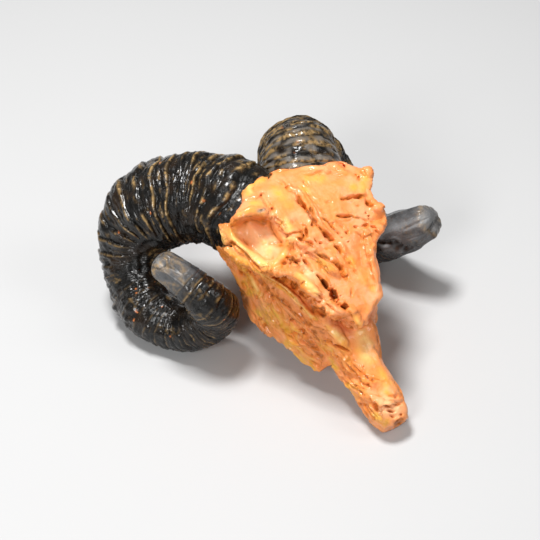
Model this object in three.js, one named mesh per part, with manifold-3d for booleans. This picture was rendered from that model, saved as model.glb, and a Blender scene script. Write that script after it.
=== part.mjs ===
// A ram skull ornament: a cast and painted resin skull without its lower jaw, with two curled horns.
// Units are millimetres and +Z is up. The nose points to -Y and +X is the animal's left side.
// The ornament rests on both horns and the tip of its nose, at Z = 0.

import * as THREE from 'three';
import { mergeVertices } from 'three/addons/utils/BufferGeometryUtils.js';
import Module from 'manifold-3d';

// ---------------------------------------------------------------- driving dimensions

const GAP = 0.3; // between neighbouring pieces
const POLL = new THREE.Vector3(1.4, 24.6, 53.4); // where the two horns meet on the crown
const NOSE_DOWN = THREE.MathUtils.degToRad(28); // slope of the skull's long axis

// In the skull's own frame `along` runs from the poll (0) to the nose, `height` is square to the
// forehead, and widths are measured from the middle plane.

// The forehead plate: along, half width, height of its top, thickness.
const PLATE = [
  [1.5, 4.0, 10.4, 5.0],
  [5.0, 13.6, 13.6, 5.4],
  [8.4, 19.4, 15.8, 6.0],
  [12.0, 23.6, 17.2, 6.0],
  [15.0, 27.0, 18.5, 6.0],
  [18.0, 28.0, 19.6, 6.0],
  [23.8, 23.4, 20.4, 6.0],
  [31.7, 25.4, 20.4, 6.0],
  [38.5, 22.3, 19.6, 5.6],
  [41.0, 17.3, 19.3, 5.2],
  [43.2, 15.4, 19.0, 5.0],
  [50.8, 13.7, 18.0, 4.6],
  [60.4, 10.4, 16.4, 4.2],
  [62.0, 6.2, 15.4, 4.0],
  [65.6, 1.2, 12.8, 2.6],
];
const PLATE_CROWN = 0.4; // how much higher the middle of the plate is than its edges

// The braincase behind and under the plate: along, half width, top, bottom.
const BRAINCASE = [
  [-16.5, 9.0, -15.0, -21.0],
  [-12.0, 15.5, -11.5, -24.0],
  [-1.0, 19.5, -8.5, -25.0],
  [10.0, 21.0, 6.2, -24.0],
  [19.2, 20.5, 13.2, -21.0],
];

// One cheek, from the orbit to the front of the tooth row:
// along, half width under the plate, half width and height of the tooth edge.
const CHEEK = [
  [19.5, 21.5, 23.5, -9.0],
  [27.0, 18.5, 22.4, -18.0],
  [33.5, 16.0, 21.2, -25.0],
  [40.0, 14.0, 20.0, -26.4],
  [48.0, 12.6, 18.2, -25.0],
  [51.0, 12.2, 17.2, -20.6],
  [57.0, 11.0, 15.6, -18.6],
  [65.0, 9.2, 13.4, -15.8],
];
const CHEEK_BULGE = 0.6; // share of the wall's flare that is reached halfway down
const TOOTH_WIDTH = 4.2;
const PALATE_DEPTH = 5.0; // how far the palate lies above the tooth edges

// The muzzle, from under the tip of the nasal bones to the nose:
// along, half width of its top, half width of its bottom, top, bottom.
const MUZZLE = [
  [65.3, 9.4, 10.2, 7.2, -10.5],
  [70.5, 7.8, 9.0, 5.8, -9.6],
  [76.5, 5.6, 8.2, 4.8, -8.6],
  [82.5, 5.4, 7.6, 4.4, -8.6],
  [88.5, 6.2, 6.9, 4.0, -9.2],
  [95.5, 6.4, 5.6, 3.4, -10.2],
  [99.5, 4.2, 4.2, 1.6, -9.4],
];
const MUZZLE_SHIFT = 0.9; // the tip of the nose lies this far to the left

// The right eye socket opens upwards and outwards, the left one sideways under the plate's edge.
const SOCKET_RADIUS = 11.2;
const SOCKET_DEPTH = 7.5;
const SOCKET_RIM = 1.6;
const SOCKET_RIGHT = new THREE.Vector3(-17.0, 25.2, 12.4); // half width, along, height
const SOCKET_RIGHT_AXIS = new THREE.Vector3(-0.62, 0.12, 0.775);
const SOCKET_LEFT = new THREE.Vector3(21.6, 29.0, 5.0);
const SOCKET_LEFT_AXIS = new THREE.Vector3(0.97, 0.1, 0.2);
const SOCKET_LEFT_SCALE = 0.72;

// The middle line of each horn and its radius, from the crown, back, down, forward and up again.
// x, y and z are measured from the poll.
const HORN_RIGHT = [
  [-7.2, -13.7, -10.8, 12.5],
  [-14.0, -3.7, -4.9, 16.4],
  [-21.2, 10.1, -6.7, 16.2],
  [-34.8, 21.2, -13.4, 16.3],
  [-42.8, 23.9, -24.3, 14.0],
  [-46.9, 17.2, -37.1, 11.9],
  [-49.0, 3.0, -43.4, 10.1],
  [-41.8, -11.2, -44.2, 8.8],
  [-34.1, -20.1, -33.9, 8.3],
  [-38.5, -21.0, -23.1, 7.6],
  [-48.5, -7.6, -13.0, 5.2],
];
const HORN_LEFT = [
  [9.0, -10.8, -13.7, 12.5],
  [14.0, 0.9, 0.2, 15.0],
  [20.5, 14.1, -6.4, 14.4],
  [28.9, 20.6, -16.8, 14.5],
  [36.3, 20.1, -29.7, 13.0],
  [39.9, 11.3, -40.8, 11.6],
  [42.0, -0.9, -43.4, 10.3],
  [44.8, -11.4, -37.7, 8.7],
  [47.8, -20.6, -28.9, 7.8],
  [52.6, -27.7, -20.7, 5.1],
];
const HORN_PARTS = { base: [0, 0.4], curl: [0.4, 0.72], tip: [0.72, 1] }; // shares of its length
const RING_PITCH = 4.5;
const RING_DEPTH = 0.045; // of the horn's radius
const HORN_SIDES = 18;
const TIP_DOME = 0.55; // height of the rounded end over its radius
const TIGHTEST = 0.9; // the inside of a bend stays this share of the way to the bend's centre

const FAR = 400; // larger than the ornament, for the cutting blocks

// ---------------------------------------------------------------- materials

const paintedBone = () => new THREE.MeshStandardMaterial({ color: 0xe2904c, roughness: 0.36, metalness: 0 });
const paintedNose = () => new THREE.MeshStandardMaterial({ color: 0xd98445, roughness: 0.36, metalness: 0 });
const paintedHorn = () => new THREE.MeshStandardMaterial({ color: 0x1d1813, roughness: 0.3, metalness: 0 });
const hornTip = () => new THREE.MeshStandardMaterial({ color: 0x4b4540, roughness: 0.36, metalness: 0 });

// ---------------------------------------------------------------- solids

const wasm = await Module();
wasm.setup();

function solidOf(geometry) {
  const merged = mergeVertices(geometry.clone().deleteAttribute('normal').deleteAttribute('uv'), 1e-4);
  return new wasm.Manifold(new wasm.Mesh({
    numProp: 3,
    vertProperties: new Float32Array(merged.attributes.position.array),
    triVerts: new Uint32Array(merged.index.array),
  }));
}

function geometryOf(solid) {
  const mesh = solid.getMesh();
  const geometry = new THREE.BufferGeometry();
  geometry.setAttribute('position', new THREE.BufferAttribute(mesh.vertProperties, 3));
  geometry.setIndex(new THREE.BufferAttribute(mesh.triVerts, 1));
  geometry.computeVertexNormals();
  return geometry;
}

function cut(geometry, ...cutters) {
  return geometryOf(cutters.reduce((solid, cutter) => solid.subtract(solidOf(cutter)), solidOf(geometry)));
}

// Skins a row of closed rings that all have the same number of points, and caps both ends.
function loft(rings) {
  const count = rings[0].length;
  const positions = rings.flat().flatMap((point) => point.toArray());
  const index = [];
  for (let row = 0; row < rings.length - 1; row++) {
    for (let i = 0; i < count; i++) {
      const a = row * count + i;
      const b = row * count + (i + 1) % count;
      index.push(a, b, a + count, b, b + count, a + count);
    }
  }
  for (const [row, flipped] of [[0, true], [rings.length - 1, false]]) {
    const centre = positions.length / 3;
    const middle = rings[row].reduce((sum, point) => sum.add(point), new THREE.Vector3());
    positions.push(...middle.divideScalar(count).toArray());
    for (let i = 0; i < count; i++) {
      const a = row * count + i;
      const b = row * count + (i + 1) % count;
      index.push(...(flipped ? [centre, b, a] : [centre, a, b]));
    }
  }
  const geometry = new THREE.BufferGeometry();
  geometry.setAttribute('position', new THREE.Float32BufferAttribute(positions, 3));
  geometry.setIndex(index);
  return geometry;
}

// ---------------------------------------------------------------- the skull's frame

const skull = new THREE.Group();
skull.position.copy(POLL);
skull.rotation.x = NOSE_DOWN;
skull.updateMatrixWorld(true);

const inSkull = (side, along, height) => new THREE.Vector3(side, -along, height);

// A block under the resting plane, and any other world geometry, seen from the skull's frame.
const toSkull = (geometry) => geometry.clone().applyMatrix4(skull.matrixWorld.clone().invert());
const toWorld = (geometry) => geometry.clone().applyMatrix4(skull.matrixWorld);
const underFloor = () => new THREE.BoxGeometry(FAR, FAR, FAR).translate(0, 0, -FAR / 2);

// The block on one side of the middle plane, left by half a gap.
function sideBlock(side) {
  return new THREE.BoxGeometry(FAR, FAR, FAR).translate(side * (FAR - GAP) / 2, 0, 0);
}

// ---------------------------------------------------------------- skull pieces

function foreheadPlate() {
  const across = [-1, -0.72, -0.3, 0.3, 0.72, 1];
  return loft(PLATE.map(([along, width, top, thickness]) => {
    const over = across.map((share) => inSkull(share * width, along, top - PLATE_CROWN * share * share));
    const under = across.toReversed().map((share) => inSkull(share * (width - 1), along, top - thickness));
    return [...over, ...under].reverse();
  }));
}

function braincase() {
  const sides = 16;
  return loft(BRAINCASE.map(([along, width, top, bottom]) => {
    const middle = (top + bottom) / 2;
    return Array.from({ length: sides }, (_, i) => {
      const angle = 2 * Math.PI * (i + 0.5) / sides;
      const swell = (value) => Math.sign(value) * Math.abs(value) ** 0.6;
      const side = width * swell(Math.cos(angle));
      return inSkull(side, along, middle + (top - middle) * swell(Math.sin(angle)));
    });
  }));
}

function plateUnderside(along) {
  const next = PLATE.findIndex((row) => row[0] >= along);
  const [a, b] = [PLATE[next - 1], PLATE[next]];
  const share = (along - a[0]) / (b[0] - a[0]);
  return THREE.MathUtils.lerp(a[2] - a[3], b[2] - b[3], share);
}

function cheek(side) {
  return loft(CHEEK.map(([along, width, toothWidth, toothHeight]) => {
    const top = plateUnderside(along) - GAP;
    const palate = toothHeight + PALATE_DEPTH;
    const waist = THREE.MathUtils.lerp(width, toothWidth, CHEEK_BULGE);
    const outline = [
      [GAP / 2, top],
      [width, top],
      [waist, (top + toothHeight) / 2],
      [toothWidth, toothHeight + 2.5],
      [toothWidth - 1, toothHeight],
      [toothWidth - TOOTH_WIDTH, toothHeight],
      [toothWidth - TOOTH_WIDTH - 1, palate],
      [GAP / 2, palate],
    ];
    const ring = outline.map(([u, height]) => inSkull(side * u, along, height));
    return side < 0 ? ring : ring.reverse();
  }));
}

function muzzle() {
  const corners = [[-1, 0.55], [-0.6, 1], [0.6, 1], [1, 0.55], [1, -0.6], [0.7, -1], [-0.7, -1], [-1, -0.6]];
  return loft(MUZZLE.map(([along, topWidth, bottomWidth, top, bottom]) => {
    const middle = (top + bottom) / 2;
    const shift = MUZZLE_SHIFT * THREE.MathUtils.smoothstep(along, MUZZLE[0][0], MUZZLE.at(-1)[0]);
    return corners.map(([share, rise]) => {
      const width = rise > 0 ? topWidth : bottomWidth;
      return inSkull(share * width + shift, along, middle + (top - middle) * rise);
    }).reverse();
  }));
}

// A cup whose mouth faces along `axis`, and the plug that clears its place in the skull.
function placeOnAxis(geometry, centre, axis, scale) {
  const direction = inSkull(axis.x, axis.y, axis.z).normalize();
  const turn = new THREE.Quaternion().setFromUnitVectors(new THREE.Vector3(0, 1, 0), direction);
  const size = new THREE.Vector3(scale, scale, scale);
  return geometry.applyMatrix4(new THREE.Matrix4().compose(inSkull(...centre.toArray()), turn, size));
}

function socketCup(centre, axis, scale) {
  const inner = SOCKET_RADIUS - SOCKET_RIM;
  const profile = [
    [0, -SOCKET_DEPTH - 2],
    [SOCKET_RADIUS * 0.75, -SOCKET_DEPTH - 2],
    [SOCKET_RADIUS, -SOCKET_DEPTH * 0.4],
    [SOCKET_RADIUS, 0],
    [inner + 0.5, 0.8],
    [inner, 0],
    [inner * 0.9, -SOCKET_DEPTH * 0.55],
    [inner * 0.55, -SOCKET_DEPTH * 0.92],
    [0, -SOCKET_DEPTH],
  ].map(([radius, rise]) => new THREE.Vector2(radius, rise));
  return placeOnAxis(new THREE.LatheGeometry(profile, 20), centre, axis, scale);
}

function socketPlug(centre, axis, scale) {
  const clear = SOCKET_RADIUS + GAP / scale;
  const deep = SOCKET_DEPTH + 2 + GAP / scale;
  const profile = [
    [0, -deep],
    [clear * 0.75 + 0.2, -deep],
    [clear, -SOCKET_DEPTH * 0.4],
    [clear, FAR / 10],
    [0, FAR / 10],
  ].map(([radius, rise]) => new THREE.Vector2(radius, rise));
  return placeOnAxis(new THREE.LatheGeometry(profile, 20), centre, axis, scale);
}

// ---------------------------------------------------------------- horns

function hornCurve(rows) {
  const line = new THREE.CatmullRomCurve3(rows.map(([x, y, z]) => new THREE.Vector3(x, y, z)), false, 'catmullrom');
  const radii = new THREE.CatmullRomCurve3(rows.map((row) => new THREE.Vector3(row[3], 0, 0)), false, 'catmullrom');
  line.arcLengthDivisions = 600;
  return { line, radiusAt: (share) => radii.getPoint(line.getUtoTmapping(share)).x, length: line.getLength() };
}

// The curvature of a line as a vector that points to the centre of the bend.
function bendAt(line, share, length) {
  const step = 0.01;
  const [before, after] = [Math.max(share - step, 0), Math.min(share + step, 1)];
  const change = line.getTangentAt(after).sub(line.getTangentAt(before));
  return change.divideScalar((after - before) * length);
}

// Rings of points round the horn's middle line. Crests and valleys follow each other at half the
// ring pitch, `swell` is added all round, and the last ring of a tip is drawn in to a dome.
function hornLength(rows, from, to, swell = 0) {
  const { line, radiusAt, length } = hornCurve(rows);
  const halfPitch = RING_PITCH / 2 / length;
  const shares = [from + (from > 0 ? GAP / 2 / length : 0)];
  for (let i = Math.floor(from / halfPitch) + 1; i * halfPitch < to - halfPitch / 2; i++) {
    shares.push(i * halfPitch);
  }
  shares.push(to < 1 ? to - GAP / 2 / length : 1);
  let across = new THREE.Vector3(0, 0, 1).cross(line.getTangentAt(from)).normalize();
  const ringAt = (share, factor, ahead) => {
    const tangent = line.getTangentAt(share);
    const bend = bendAt(line, share, length);
    across = across.clone().addScaledVector(tangent, -across.dot(tangent)).normalize();
    const up = new THREE.Vector3().crossVectors(tangent, across);
    const centre = line.getPointAt(share).addScaledVector(tangent, ahead);
    return Array.from({ length: HORN_SIDES }, (_, i) => {
      const angle = 2 * Math.PI * i / HORN_SIDES;
      const spoke = across.clone().multiplyScalar(Math.cos(angle)).addScaledVector(up, Math.sin(angle));
      const limit = TIGHTEST / Math.max(bend.dot(spoke), 0.01);
      return centre.clone().addScaledVector(spoke, Math.min(radiusAt(share) * factor, limit) + swell);
    });
  };
  const rings = shares.map((share) => {
    const crest = Math.round(share / halfPitch) % 2 === 0;
    const smoothTip = share > 0.93 ? 0 : 1;
    return ringAt(share, 1 + smoothTip * (crest ? RING_DEPTH : -RING_DEPTH), 0);
  });
  if (to === 1) {
    rings.push(ringAt(1, 0.72, radiusAt(1) * TIP_DOME));
  }
  return loft(rings);
}

const atPoll = (geometry) => geometry.translate(POLL.x, POLL.y, POLL.z);

function horn(rows, part, side) {
  const [from, to] = HORN_PARTS[part];
  const whole = atPoll(hornLength(rows, from, to));
  return cut(whole, underFloor(), sideBlock(-side), ...plugs.map(toWorld));
}

const hornSwollen = (rows) => toSkull(atPoll(hornLength(rows, 0, HORN_PARTS.base[1], GAP)));

// ---------------------------------------------------------------- assembly

function add(parent, name, geometry, material) {
  const mesh = new THREE.Mesh(geometry, material);
  mesh.name = name;
  parent.add(mesh);
}

const ornament = new THREE.Group();
ornament.add(skull);

const hornSockets = [hornSwollen(HORN_RIGHT), hornSwollen(HORN_LEFT)];
const plugs = [
  socketPlug(SOCKET_RIGHT, SOCKET_RIGHT_AXIS, 1),
  socketPlug(SOCKET_LEFT, SOCKET_LEFT_AXIS, SOCKET_LEFT_SCALE),
];

add(skull, 'forehead_plate', cut(foreheadPlate(), ...hornSockets, ...plugs), paintedBone());
add(skull, 'braincase', cut(braincase(), ...hornSockets, ...plugs), paintedBone());
add(skull, 'cheek_right', cut(cheek(-1), ...hornSockets, ...plugs), paintedBone());
add(skull, 'cheek_left', cut(cheek(1), ...hornSockets, ...plugs), paintedBone());
add(skull, 'muzzle', cut(muzzle(), toSkull(underFloor())), paintedNose());
add(skull, 'eye_socket_right', socketCup(SOCKET_RIGHT, SOCKET_RIGHT_AXIS, 1), paintedBone());
add(skull, 'eye_socket_left', socketCup(SOCKET_LEFT, SOCKET_LEFT_AXIS, SOCKET_LEFT_SCALE), paintedBone());

for (const part of Object.keys(HORN_PARTS)) {
  const material = part === 'tip' ? hornTip : paintedHorn;
  add(ornament, `horn_right_${part}`, horn(HORN_RIGHT, part, -1), material());
  add(ornament, `horn_left_${part}`, horn(HORN_LEFT, part, 1), material());
}

export default ornament;
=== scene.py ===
# %% [markdown]
# # A painted resin ram skull
# The object is a small ornament: a ram's skull without its lower jaw, modelled by hand, cast in resin,
# painted orange and yellow, and varnished. Its two horns are glossy black with ochre brushed on the rings.
# The CAD frame fixes where everything is. Here each part gets its real surface.

# %% The frame
import math

import bpy
import numpy as np
from mathutils import Matrix, Vector
from mathutils.bvhtree import BVHTree


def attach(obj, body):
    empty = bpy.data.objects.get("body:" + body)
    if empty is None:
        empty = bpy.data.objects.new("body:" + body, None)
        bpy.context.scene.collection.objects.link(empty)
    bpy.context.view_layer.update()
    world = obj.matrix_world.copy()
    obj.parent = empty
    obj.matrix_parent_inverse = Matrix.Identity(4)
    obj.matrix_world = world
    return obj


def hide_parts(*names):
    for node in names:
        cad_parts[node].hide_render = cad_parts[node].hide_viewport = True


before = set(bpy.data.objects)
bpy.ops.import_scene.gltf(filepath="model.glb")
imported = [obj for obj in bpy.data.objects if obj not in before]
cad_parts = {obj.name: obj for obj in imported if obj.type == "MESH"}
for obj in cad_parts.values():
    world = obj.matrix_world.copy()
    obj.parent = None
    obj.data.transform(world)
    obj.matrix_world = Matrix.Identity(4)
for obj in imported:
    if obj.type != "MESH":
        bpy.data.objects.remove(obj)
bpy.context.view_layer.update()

MM = 0.001

# %% [markdown]
# The skull has axes of its own. Its long axis slopes down to the nose, so its shapes are described by
# `side` (to the animal's left), `along` (from the poll between the horns to the nose) and `height`
# (square to the forehead), all in millimetres. One matrix turns those into the frame's metres.

# %% The skull's own axes
POLL = Vector((1.4, 24.6, 53.4))
NOSE_DOWN = math.radians(28)
TO_WORLD = (
    Matrix.Scale(MM, 4)
    @ Matrix.Translation(POLL)
    @ Matrix.Rotation(NOSE_DOWN, 4, "X")
    @ Matrix.Diagonal((1, -1, 1, 1))
)
TO_SKULL = TO_WORLD.inverted()


def transformed(points, matrix):
    m = np.array(matrix)
    return points @ m[:3, :3].T + m[:3, 3]


print("poll at", [round(c, 1) for c in TO_WORLD @ Vector((0, 0, 0)) / MM], "mm")

# %% [markdown]
# The camera looks down on the skull from its right front. Marks that were pressed or brushed on by hand
# are easiest to place where they are seen, so the camera comes first: `seen` sends a ray through a point
# of the picture, which is 540 units wide, and gives the place where it meets the sculpt.

# %% The camera
FRAME_WIDTH = 540
LENS, SENSOR = 100, 36
AZIMUTH, ELEVATION = math.radians(-30), math.radians(41)
DISTANCE = 540 * MM
AIM = Vector((-8.9, 6.0, 28.9)) * MM
back = Vector((
    math.sin(AZIMUTH) * math.cos(ELEVATION),
    -math.cos(AZIMUTH) * math.cos(ELEVATION),
    math.sin(ELEVATION),
))
camera_data = bpy.data.cameras.new("camera")
camera_data.lens = LENS
camera_data.sensor_width = SENSOR
camera = bpy.data.objects.new("camera", camera_data)
camera.location = AIM + back * DISTANCE
camera.rotation_euler = back.to_track_quat("Z", "Y").to_euler()
bpy.context.scene.collection.objects.link(camera)
bpy.context.scene.camera = camera
bpy.context.view_layer.update()


def ray_through(x, y):
    """The direction from the camera through a picture point, counted from the top left."""
    across = (x - FRAME_WIDTH / 2) / FRAME_WIDTH * SENSOR
    down = (y - FRAME_WIDTH / 2) / FRAME_WIDTH * SENSOR
    return (camera.matrix_world.to_3x3() @ Vector((across, -down, -LENS))).normalized()


def seen(surface, x, y):
    """Where a picture point falls on a surface, or None beside it."""
    place = surface.ray_cast(camera.location, ray_through(x, y))[0]
    return None if place is None else np.array(place)


print("camera at", [round(c / MM) for c in camera.location], "mm")

# %% [markdown]
# Each big form of the skull starts as a cube that is subdivided in edit mode and then pulled to shape:
# a function says where every point of the unit cube goes. That is how a sculptor blocks out a form, and
# it keeps all the sizes readable. The blocks are joined and fused into one body afterwards.

# %% Helpers for blocks
def only(piece):
    """Selects one object and nothing else."""
    bpy.ops.object.select_all(action="DESELECT")
    piece.select_set(True)
    bpy.context.view_layer.objects.active = piece


def points_of(piece):
    flat = np.empty(len(piece.data.vertices) * 3)
    piece.data.vertices.foreach_get("co", flat)
    return flat.reshape(-1, 3)


def normals_of(piece):
    flat = np.empty(len(piece.data.vertices) * 3)
    piece.data.vertices.foreach_get("normal", flat)
    return flat.reshape(-1, 3)


def move_points(piece, points):
    piece.data.vertices.foreach_set("co", points.ravel())
    piece.data.update()


def apply_modifier(piece, kind, **settings):
    only(piece)
    modifier = piece.modifiers.new(kind.lower(), kind)
    for name, value in settings.items():
        setattr(modifier, name, value)
    bpy.ops.object.modifier_apply(modifier=modifier.name)


def face_outwards(piece):
    only(piece)
    bpy.ops.object.mode_set(mode="EDIT")
    bpy.ops.mesh.select_all(action="SELECT")
    bpy.ops.mesh.normals_make_consistent(inside=False)
    bpy.ops.object.mode_set(mode="OBJECT")
    return piece


def block(name, cuts, shape):
    """A subdivided cube whose points (a, b, c), each from -1 to 1, go where shape(a, b, c) says."""
    bpy.ops.object.select_all(action="DESELECT")
    bpy.ops.mesh.primitive_cube_add(size=2)
    piece = bpy.context.active_object
    piece.name = name
    bpy.ops.object.mode_set(mode="EDIT")
    bpy.ops.mesh.select_all(action="SELECT")
    bpy.ops.mesh.subdivide(number_cuts=cuts)
    bpy.ops.object.mode_set(mode="OBJECT")
    a, b, c = points_of(piece).T
    move_points(piece, transformed(np.stack(shape(a, b, c), axis=1), TO_WORLD))
    return face_outwards(piece)


def sphere(around, along):
    """A new sphere of radius 1 whose poles are on the Z axis."""
    bpy.ops.object.select_all(action="DESELECT")
    bpy.ops.mesh.primitive_uv_sphere_add(segments=around, ring_count=along)
    return bpy.context.active_object


def between(table, along, column):
    """Reads a column of a table whose first column is the place along the skull."""
    rows = np.array(table)
    return np.interp(along, rows[:, 0], rows[:, column])


def span(table, b):
    """Turns b from -1 to 1 into a place along the skull, from the table's first row to its last."""
    return table[0][0] + (b + 1) / 2 * (table[-1][0] - table[0][0])


def bar(a, c, half_width, top, bottom, pinched):
    """The side and height of a rounded four-sided bar along the skull."""
    pinch = 1 - pinched * (np.abs(a) * np.abs(c)) ** 2
    return a * half_width * pinch, (top + bottom) / 2 + c * (top - bottom) / 2 * pinch


def above_floor(points):
    """The same points, with none of them lower than the floor."""
    points[:, 2] = np.maximum(points[:, 2], 0)
    return points


# %% [markdown]
# A few more tools: soft steps and bumps, seeded noise made of waves, a smooth line through points, and a
# rod that follows such a line.

# %% Helpers for curves and noise
def smooth_step(low, high, value):
    t = np.clip((value - low) / (high - low), 0, 1)
    return t * t * (3 - 2 * t)


def bump(distance, width):
    return np.exp(-((distance / width) ** 2))


def ripple(points, size, seed, waves=14):
    """Smooth seeded noise of about one unit: a sum of waves in all directions, about `size` long."""
    rng = np.random.default_rng(seed)
    directions = rng.normal(size=(waves, 3))
    directions /= np.linalg.norm(directions, axis=1)[:, None]
    turns = 2 * np.pi / size * rng.uniform(0.6, 1.5, waves)
    angles = points @ (directions * turns[:, None]).T + rng.uniform(0, 2 * np.pi, waves)
    return np.sin(angles).sum(1) * (2 / waves) ** 0.5


def creases(points, size, seed):
    """Rounded swellings of about `size` that meet in sharp creases, from 0 in a crease to 1."""
    return np.clip(np.abs(ripple(points, size * 2, seed)), 0, 1.2) / 1.2


def through(rows, steps):
    """A Catmull-Rom line through the rows, as evenly spaced points, and how far along each of them is."""
    knots = np.array(rows, dtype=float)
    knots = np.vstack([2 * knots[0] - knots[1], knots, 2 * knots[-1] - knots[-2]])
    t = np.linspace(0, len(rows) - 1, 40 * len(rows))
    i = np.minimum(t.astype(int), len(rows) - 2)
    f = (t - i)[:, None]
    a, b, c, d = (knots[i + k] for k in range(4))
    line = 0.5 * (2 * b + (c - a) * f + (2 * a - 5 * b + 4 * c - d) * f**2 + (3 * b - a - 3 * c + d) * f**3)
    run = np.concatenate([[0], np.cumsum(np.linalg.norm(np.diff(line[:, :3], axis=0), axis=1))])
    even = np.linspace(0, run[-1], steps)
    return np.stack([np.interp(even, run, column) for column in line.T], axis=1), even


def unit(vectors):
    return vectors / np.linalg.norm(vectors, axis=1)[:, None]


def blurred(values, width):
    """The rows of a table, averaged with their neighbours over a number of rows."""
    kernel = np.hanning(width)
    padded = np.pad(values, ((width // 2, width // 2), (0, 0)), mode="edge")
    return np.stack([np.convolve(column, kernel / kernel.sum(), "valid") for column in padded.T], axis=1)


def laid_along(name, rows, around, along):
    """A sphere for a line of (x, y, z, radius) rows: the piece, the line, how far along each of its points
    is, and then for each point of the sphere its place on the line and its angle around it."""
    piece = sphere(around, along)
    piece.name = piece.data.name = name
    ball = points_of(piece)
    line, run = through(rows, along + 1)
    pick = np.round(np.arccos(np.clip(-ball[:, 2], -1, 1)) / np.pi * along).astype(int)
    return piece, line, run, pick, np.arctan2(ball[:, 1], ball[:, 0])


def spokes(angle, first, second):
    return np.cos(angle)[:, None] * first + np.sin(angle)[:, None] * second


def rod(name, rows, around, along):
    """A closed rod along a line of (x, y, z, radius) rows in metres, made from a sphere."""
    piece, line, run, pick, angle = laid_along(name, rows, around, along)
    ahead = unit(np.gradient(line[:, :3], axis=0))
    level = unit(np.cross(ahead, np.array(back)))
    over = np.cross(level, ahead)
    ends = np.minimum(run, run[-1] - run) / np.maximum(line[:, 3], 1e-6)
    radius = line[:, 3] * np.sqrt(np.clip(1 - np.clip(1 - ends, 0, 1) ** 2, 0, 1))
    move_points(piece, line[pick, :3] + spokes(angle, level[pick], over[pick]) * radius[pick][:, None])
    return face_outwards(piece)


print("helpers ready")

# %% [markdown]
# The forehead is a broad plate that narrows to the nasal bones. It slopes down behind to the poll, where
# the horns start, and it overhangs the cheeks. The braincase is a plain rounded block under it.

# %% Forehead plate and braincase
# along, half width on the right and on the left, height of the top, thickness
PLATE = [
    (1.5, 6.5, 2.0, 11.2, 14.0),
    (3.2, 11.0, 6.0, 12.8, 13.0),
    (4.6, 14.4, 10.0, 13.6, 12.0),
    (6.2, 15.8, 19.0, 14.4, 11.0),
    (7.4, 17.0, 22.6, 15.2, 10.0),
    (9.0, 18.0, 23.4, 16.0, 9.0),
    (12.0, 21.4, 24.6, 17.3, 8.0),
    (13.6, 24.2, 26.6, 17.9, 7.0),
    (15.6, 25.4, 28.0, 18.6, 6.5),
    (18.0, 17.0, 28.0, 19.4, 6.0),
    (20.8, 11.5, 26.4, 20.0, 6.2),
    (23.8, 9.6, 23.4, 20.4, 6.4),
    (27.4, 9.0, 24.2, 20.4, 6.4),
    (31.7, 10.2, 25.2, 20.2, 6.2),
    (34.5, 12.5, 24.8, 20.0, 6.1),
    (36.5, 16.5, 24.0, 19.8, 6.0),
    (38.8, 18.0, 21.4, 19.5, 5.6),
    (41.0, 15.2, 17.3, 19.2, 5.2),
    (43.2, 13.6, 15.4, 19.0, 5.0),
    (50.8, 12.6, 13.7, 18.0, 4.6),
    (59.8, 9.4, 10.4, 16.4, 4.2),
    (61.6, 5.6, 6.6, 15.4, 4.0),
    (65.6, 1.4, 1.4, 12.8, 2.6),
]
CROWN = 0.5  # mm, how much lower the sides of the plate are than its middle
REAR_CROWN, REAR_END = 2.2, 16.0  # mm, how much lower they are still at the rear, and where that starts
BRAINCASE_PINCH = 0.25  # the share by which a bar's four edges are drawn in
# along, half width, top, bottom
BRAINCASE = [
    (-13.5, 7.0, -19.0, -22.0),
    (-9.0, 13.0, -17.5, -24.0),
    (-1.0, 18.5, -12.0, -25.0),
    (8.0, 20.5, 2.0, -24.0),
    (22.0, 20.5, 15.0, -20.0),
]


def plate_shape(a, b, c):
    along = span(PLATE, b)
    rear = np.clip(1 - along / REAR_END, 0, 1)
    top = between(PLATE, along, 3) - (CROWN + REAR_CROWN * rear) * np.abs(a) ** 3
    width = np.where(a < 0, between(PLATE, along, 1), between(PLATE, along, 2))
    return a * width, along, top - (1 - c) / 2 * between(PLATE, along, 4)


def braincase_shape(a, b, c):
    along = span(BRAINCASE, b)
    half_width, top, bottom = (between(BRAINCASE, along, column) for column in (1, 2, 3))
    side, height = bar(a, c, half_width, top, bottom, BRAINCASE_PINCH)
    return side, along, height


forms = [block("plate", 40, plate_shape), block("braincase", 12, braincase_shape)]

# %% [markdown]
# Each cheek is a wall that flares from under the plate down to the tooth edge. The muzzle is a narrow
# four-sided bar that leans a little to the animal's left and ends blunt.

# %% Cheeks and muzzle
# along, half width under the plate, half width and height of the tooth edge
CHEEK = [
    (17.0, 20.5, 23.0, -5.0),
    (21.0, 20.5, 23.2, -10.0),
    (27.0, 18.5, 22.4, -18.0),
    (33.5, 16.0, 21.2, -25.0),
    (38.0, 14.4, 20.4, -26.6),
    (41.5, 13.8, 19.6, -26.2),
    (48.0, 12.6, 18.2, -25.2),
    (49.6, 12.4, 17.6, -21.8),
    (57.0, 11.0, 15.6, -18.6),
    (62.0, 10.0, 14.2, -17.0),
    (69.4, 9.4, 12.4, -13.6),
]
CHEEK_FRONT = 58.0  # in front of this place the cheeks drop away from the plate
FRONT_DROP = 1.9  # how steeply they do so
BULGE = 0.55  # how fast the cheeks flare just under the plate
PALATE_DEPTH = 5.0
PALATE_FROM, PALATE_STEP = 0.7, 0.12  # shares of the half width where the palate ends and the teeth start
# along, half width of the top, half width of the bottom, top, bottom
MUZZLE = [
    (58.0, 9.6, 11.0, 9.0, -11.0),
    (65.3, 9.4, 10.2, 7.4, -10.5),
    (70.5, 7.8, 9.2, 5.9, -9.8),
    (76.5, 5.6, 8.6, 4.9, -9.0),
    (82.5, 5.5, 7.9, 4.5, -9.0),
    (88.5, 6.5, 7.1, 4.1, -9.3),
    (95.5, 6.6, 5.9, 3.5, -10.2),
    (99.2, 4.6, 4.2, 1.4, -7.4),
]
MUZZLE_LEAN = 0.3
MUZZLE_PINCH = 0.22


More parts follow.
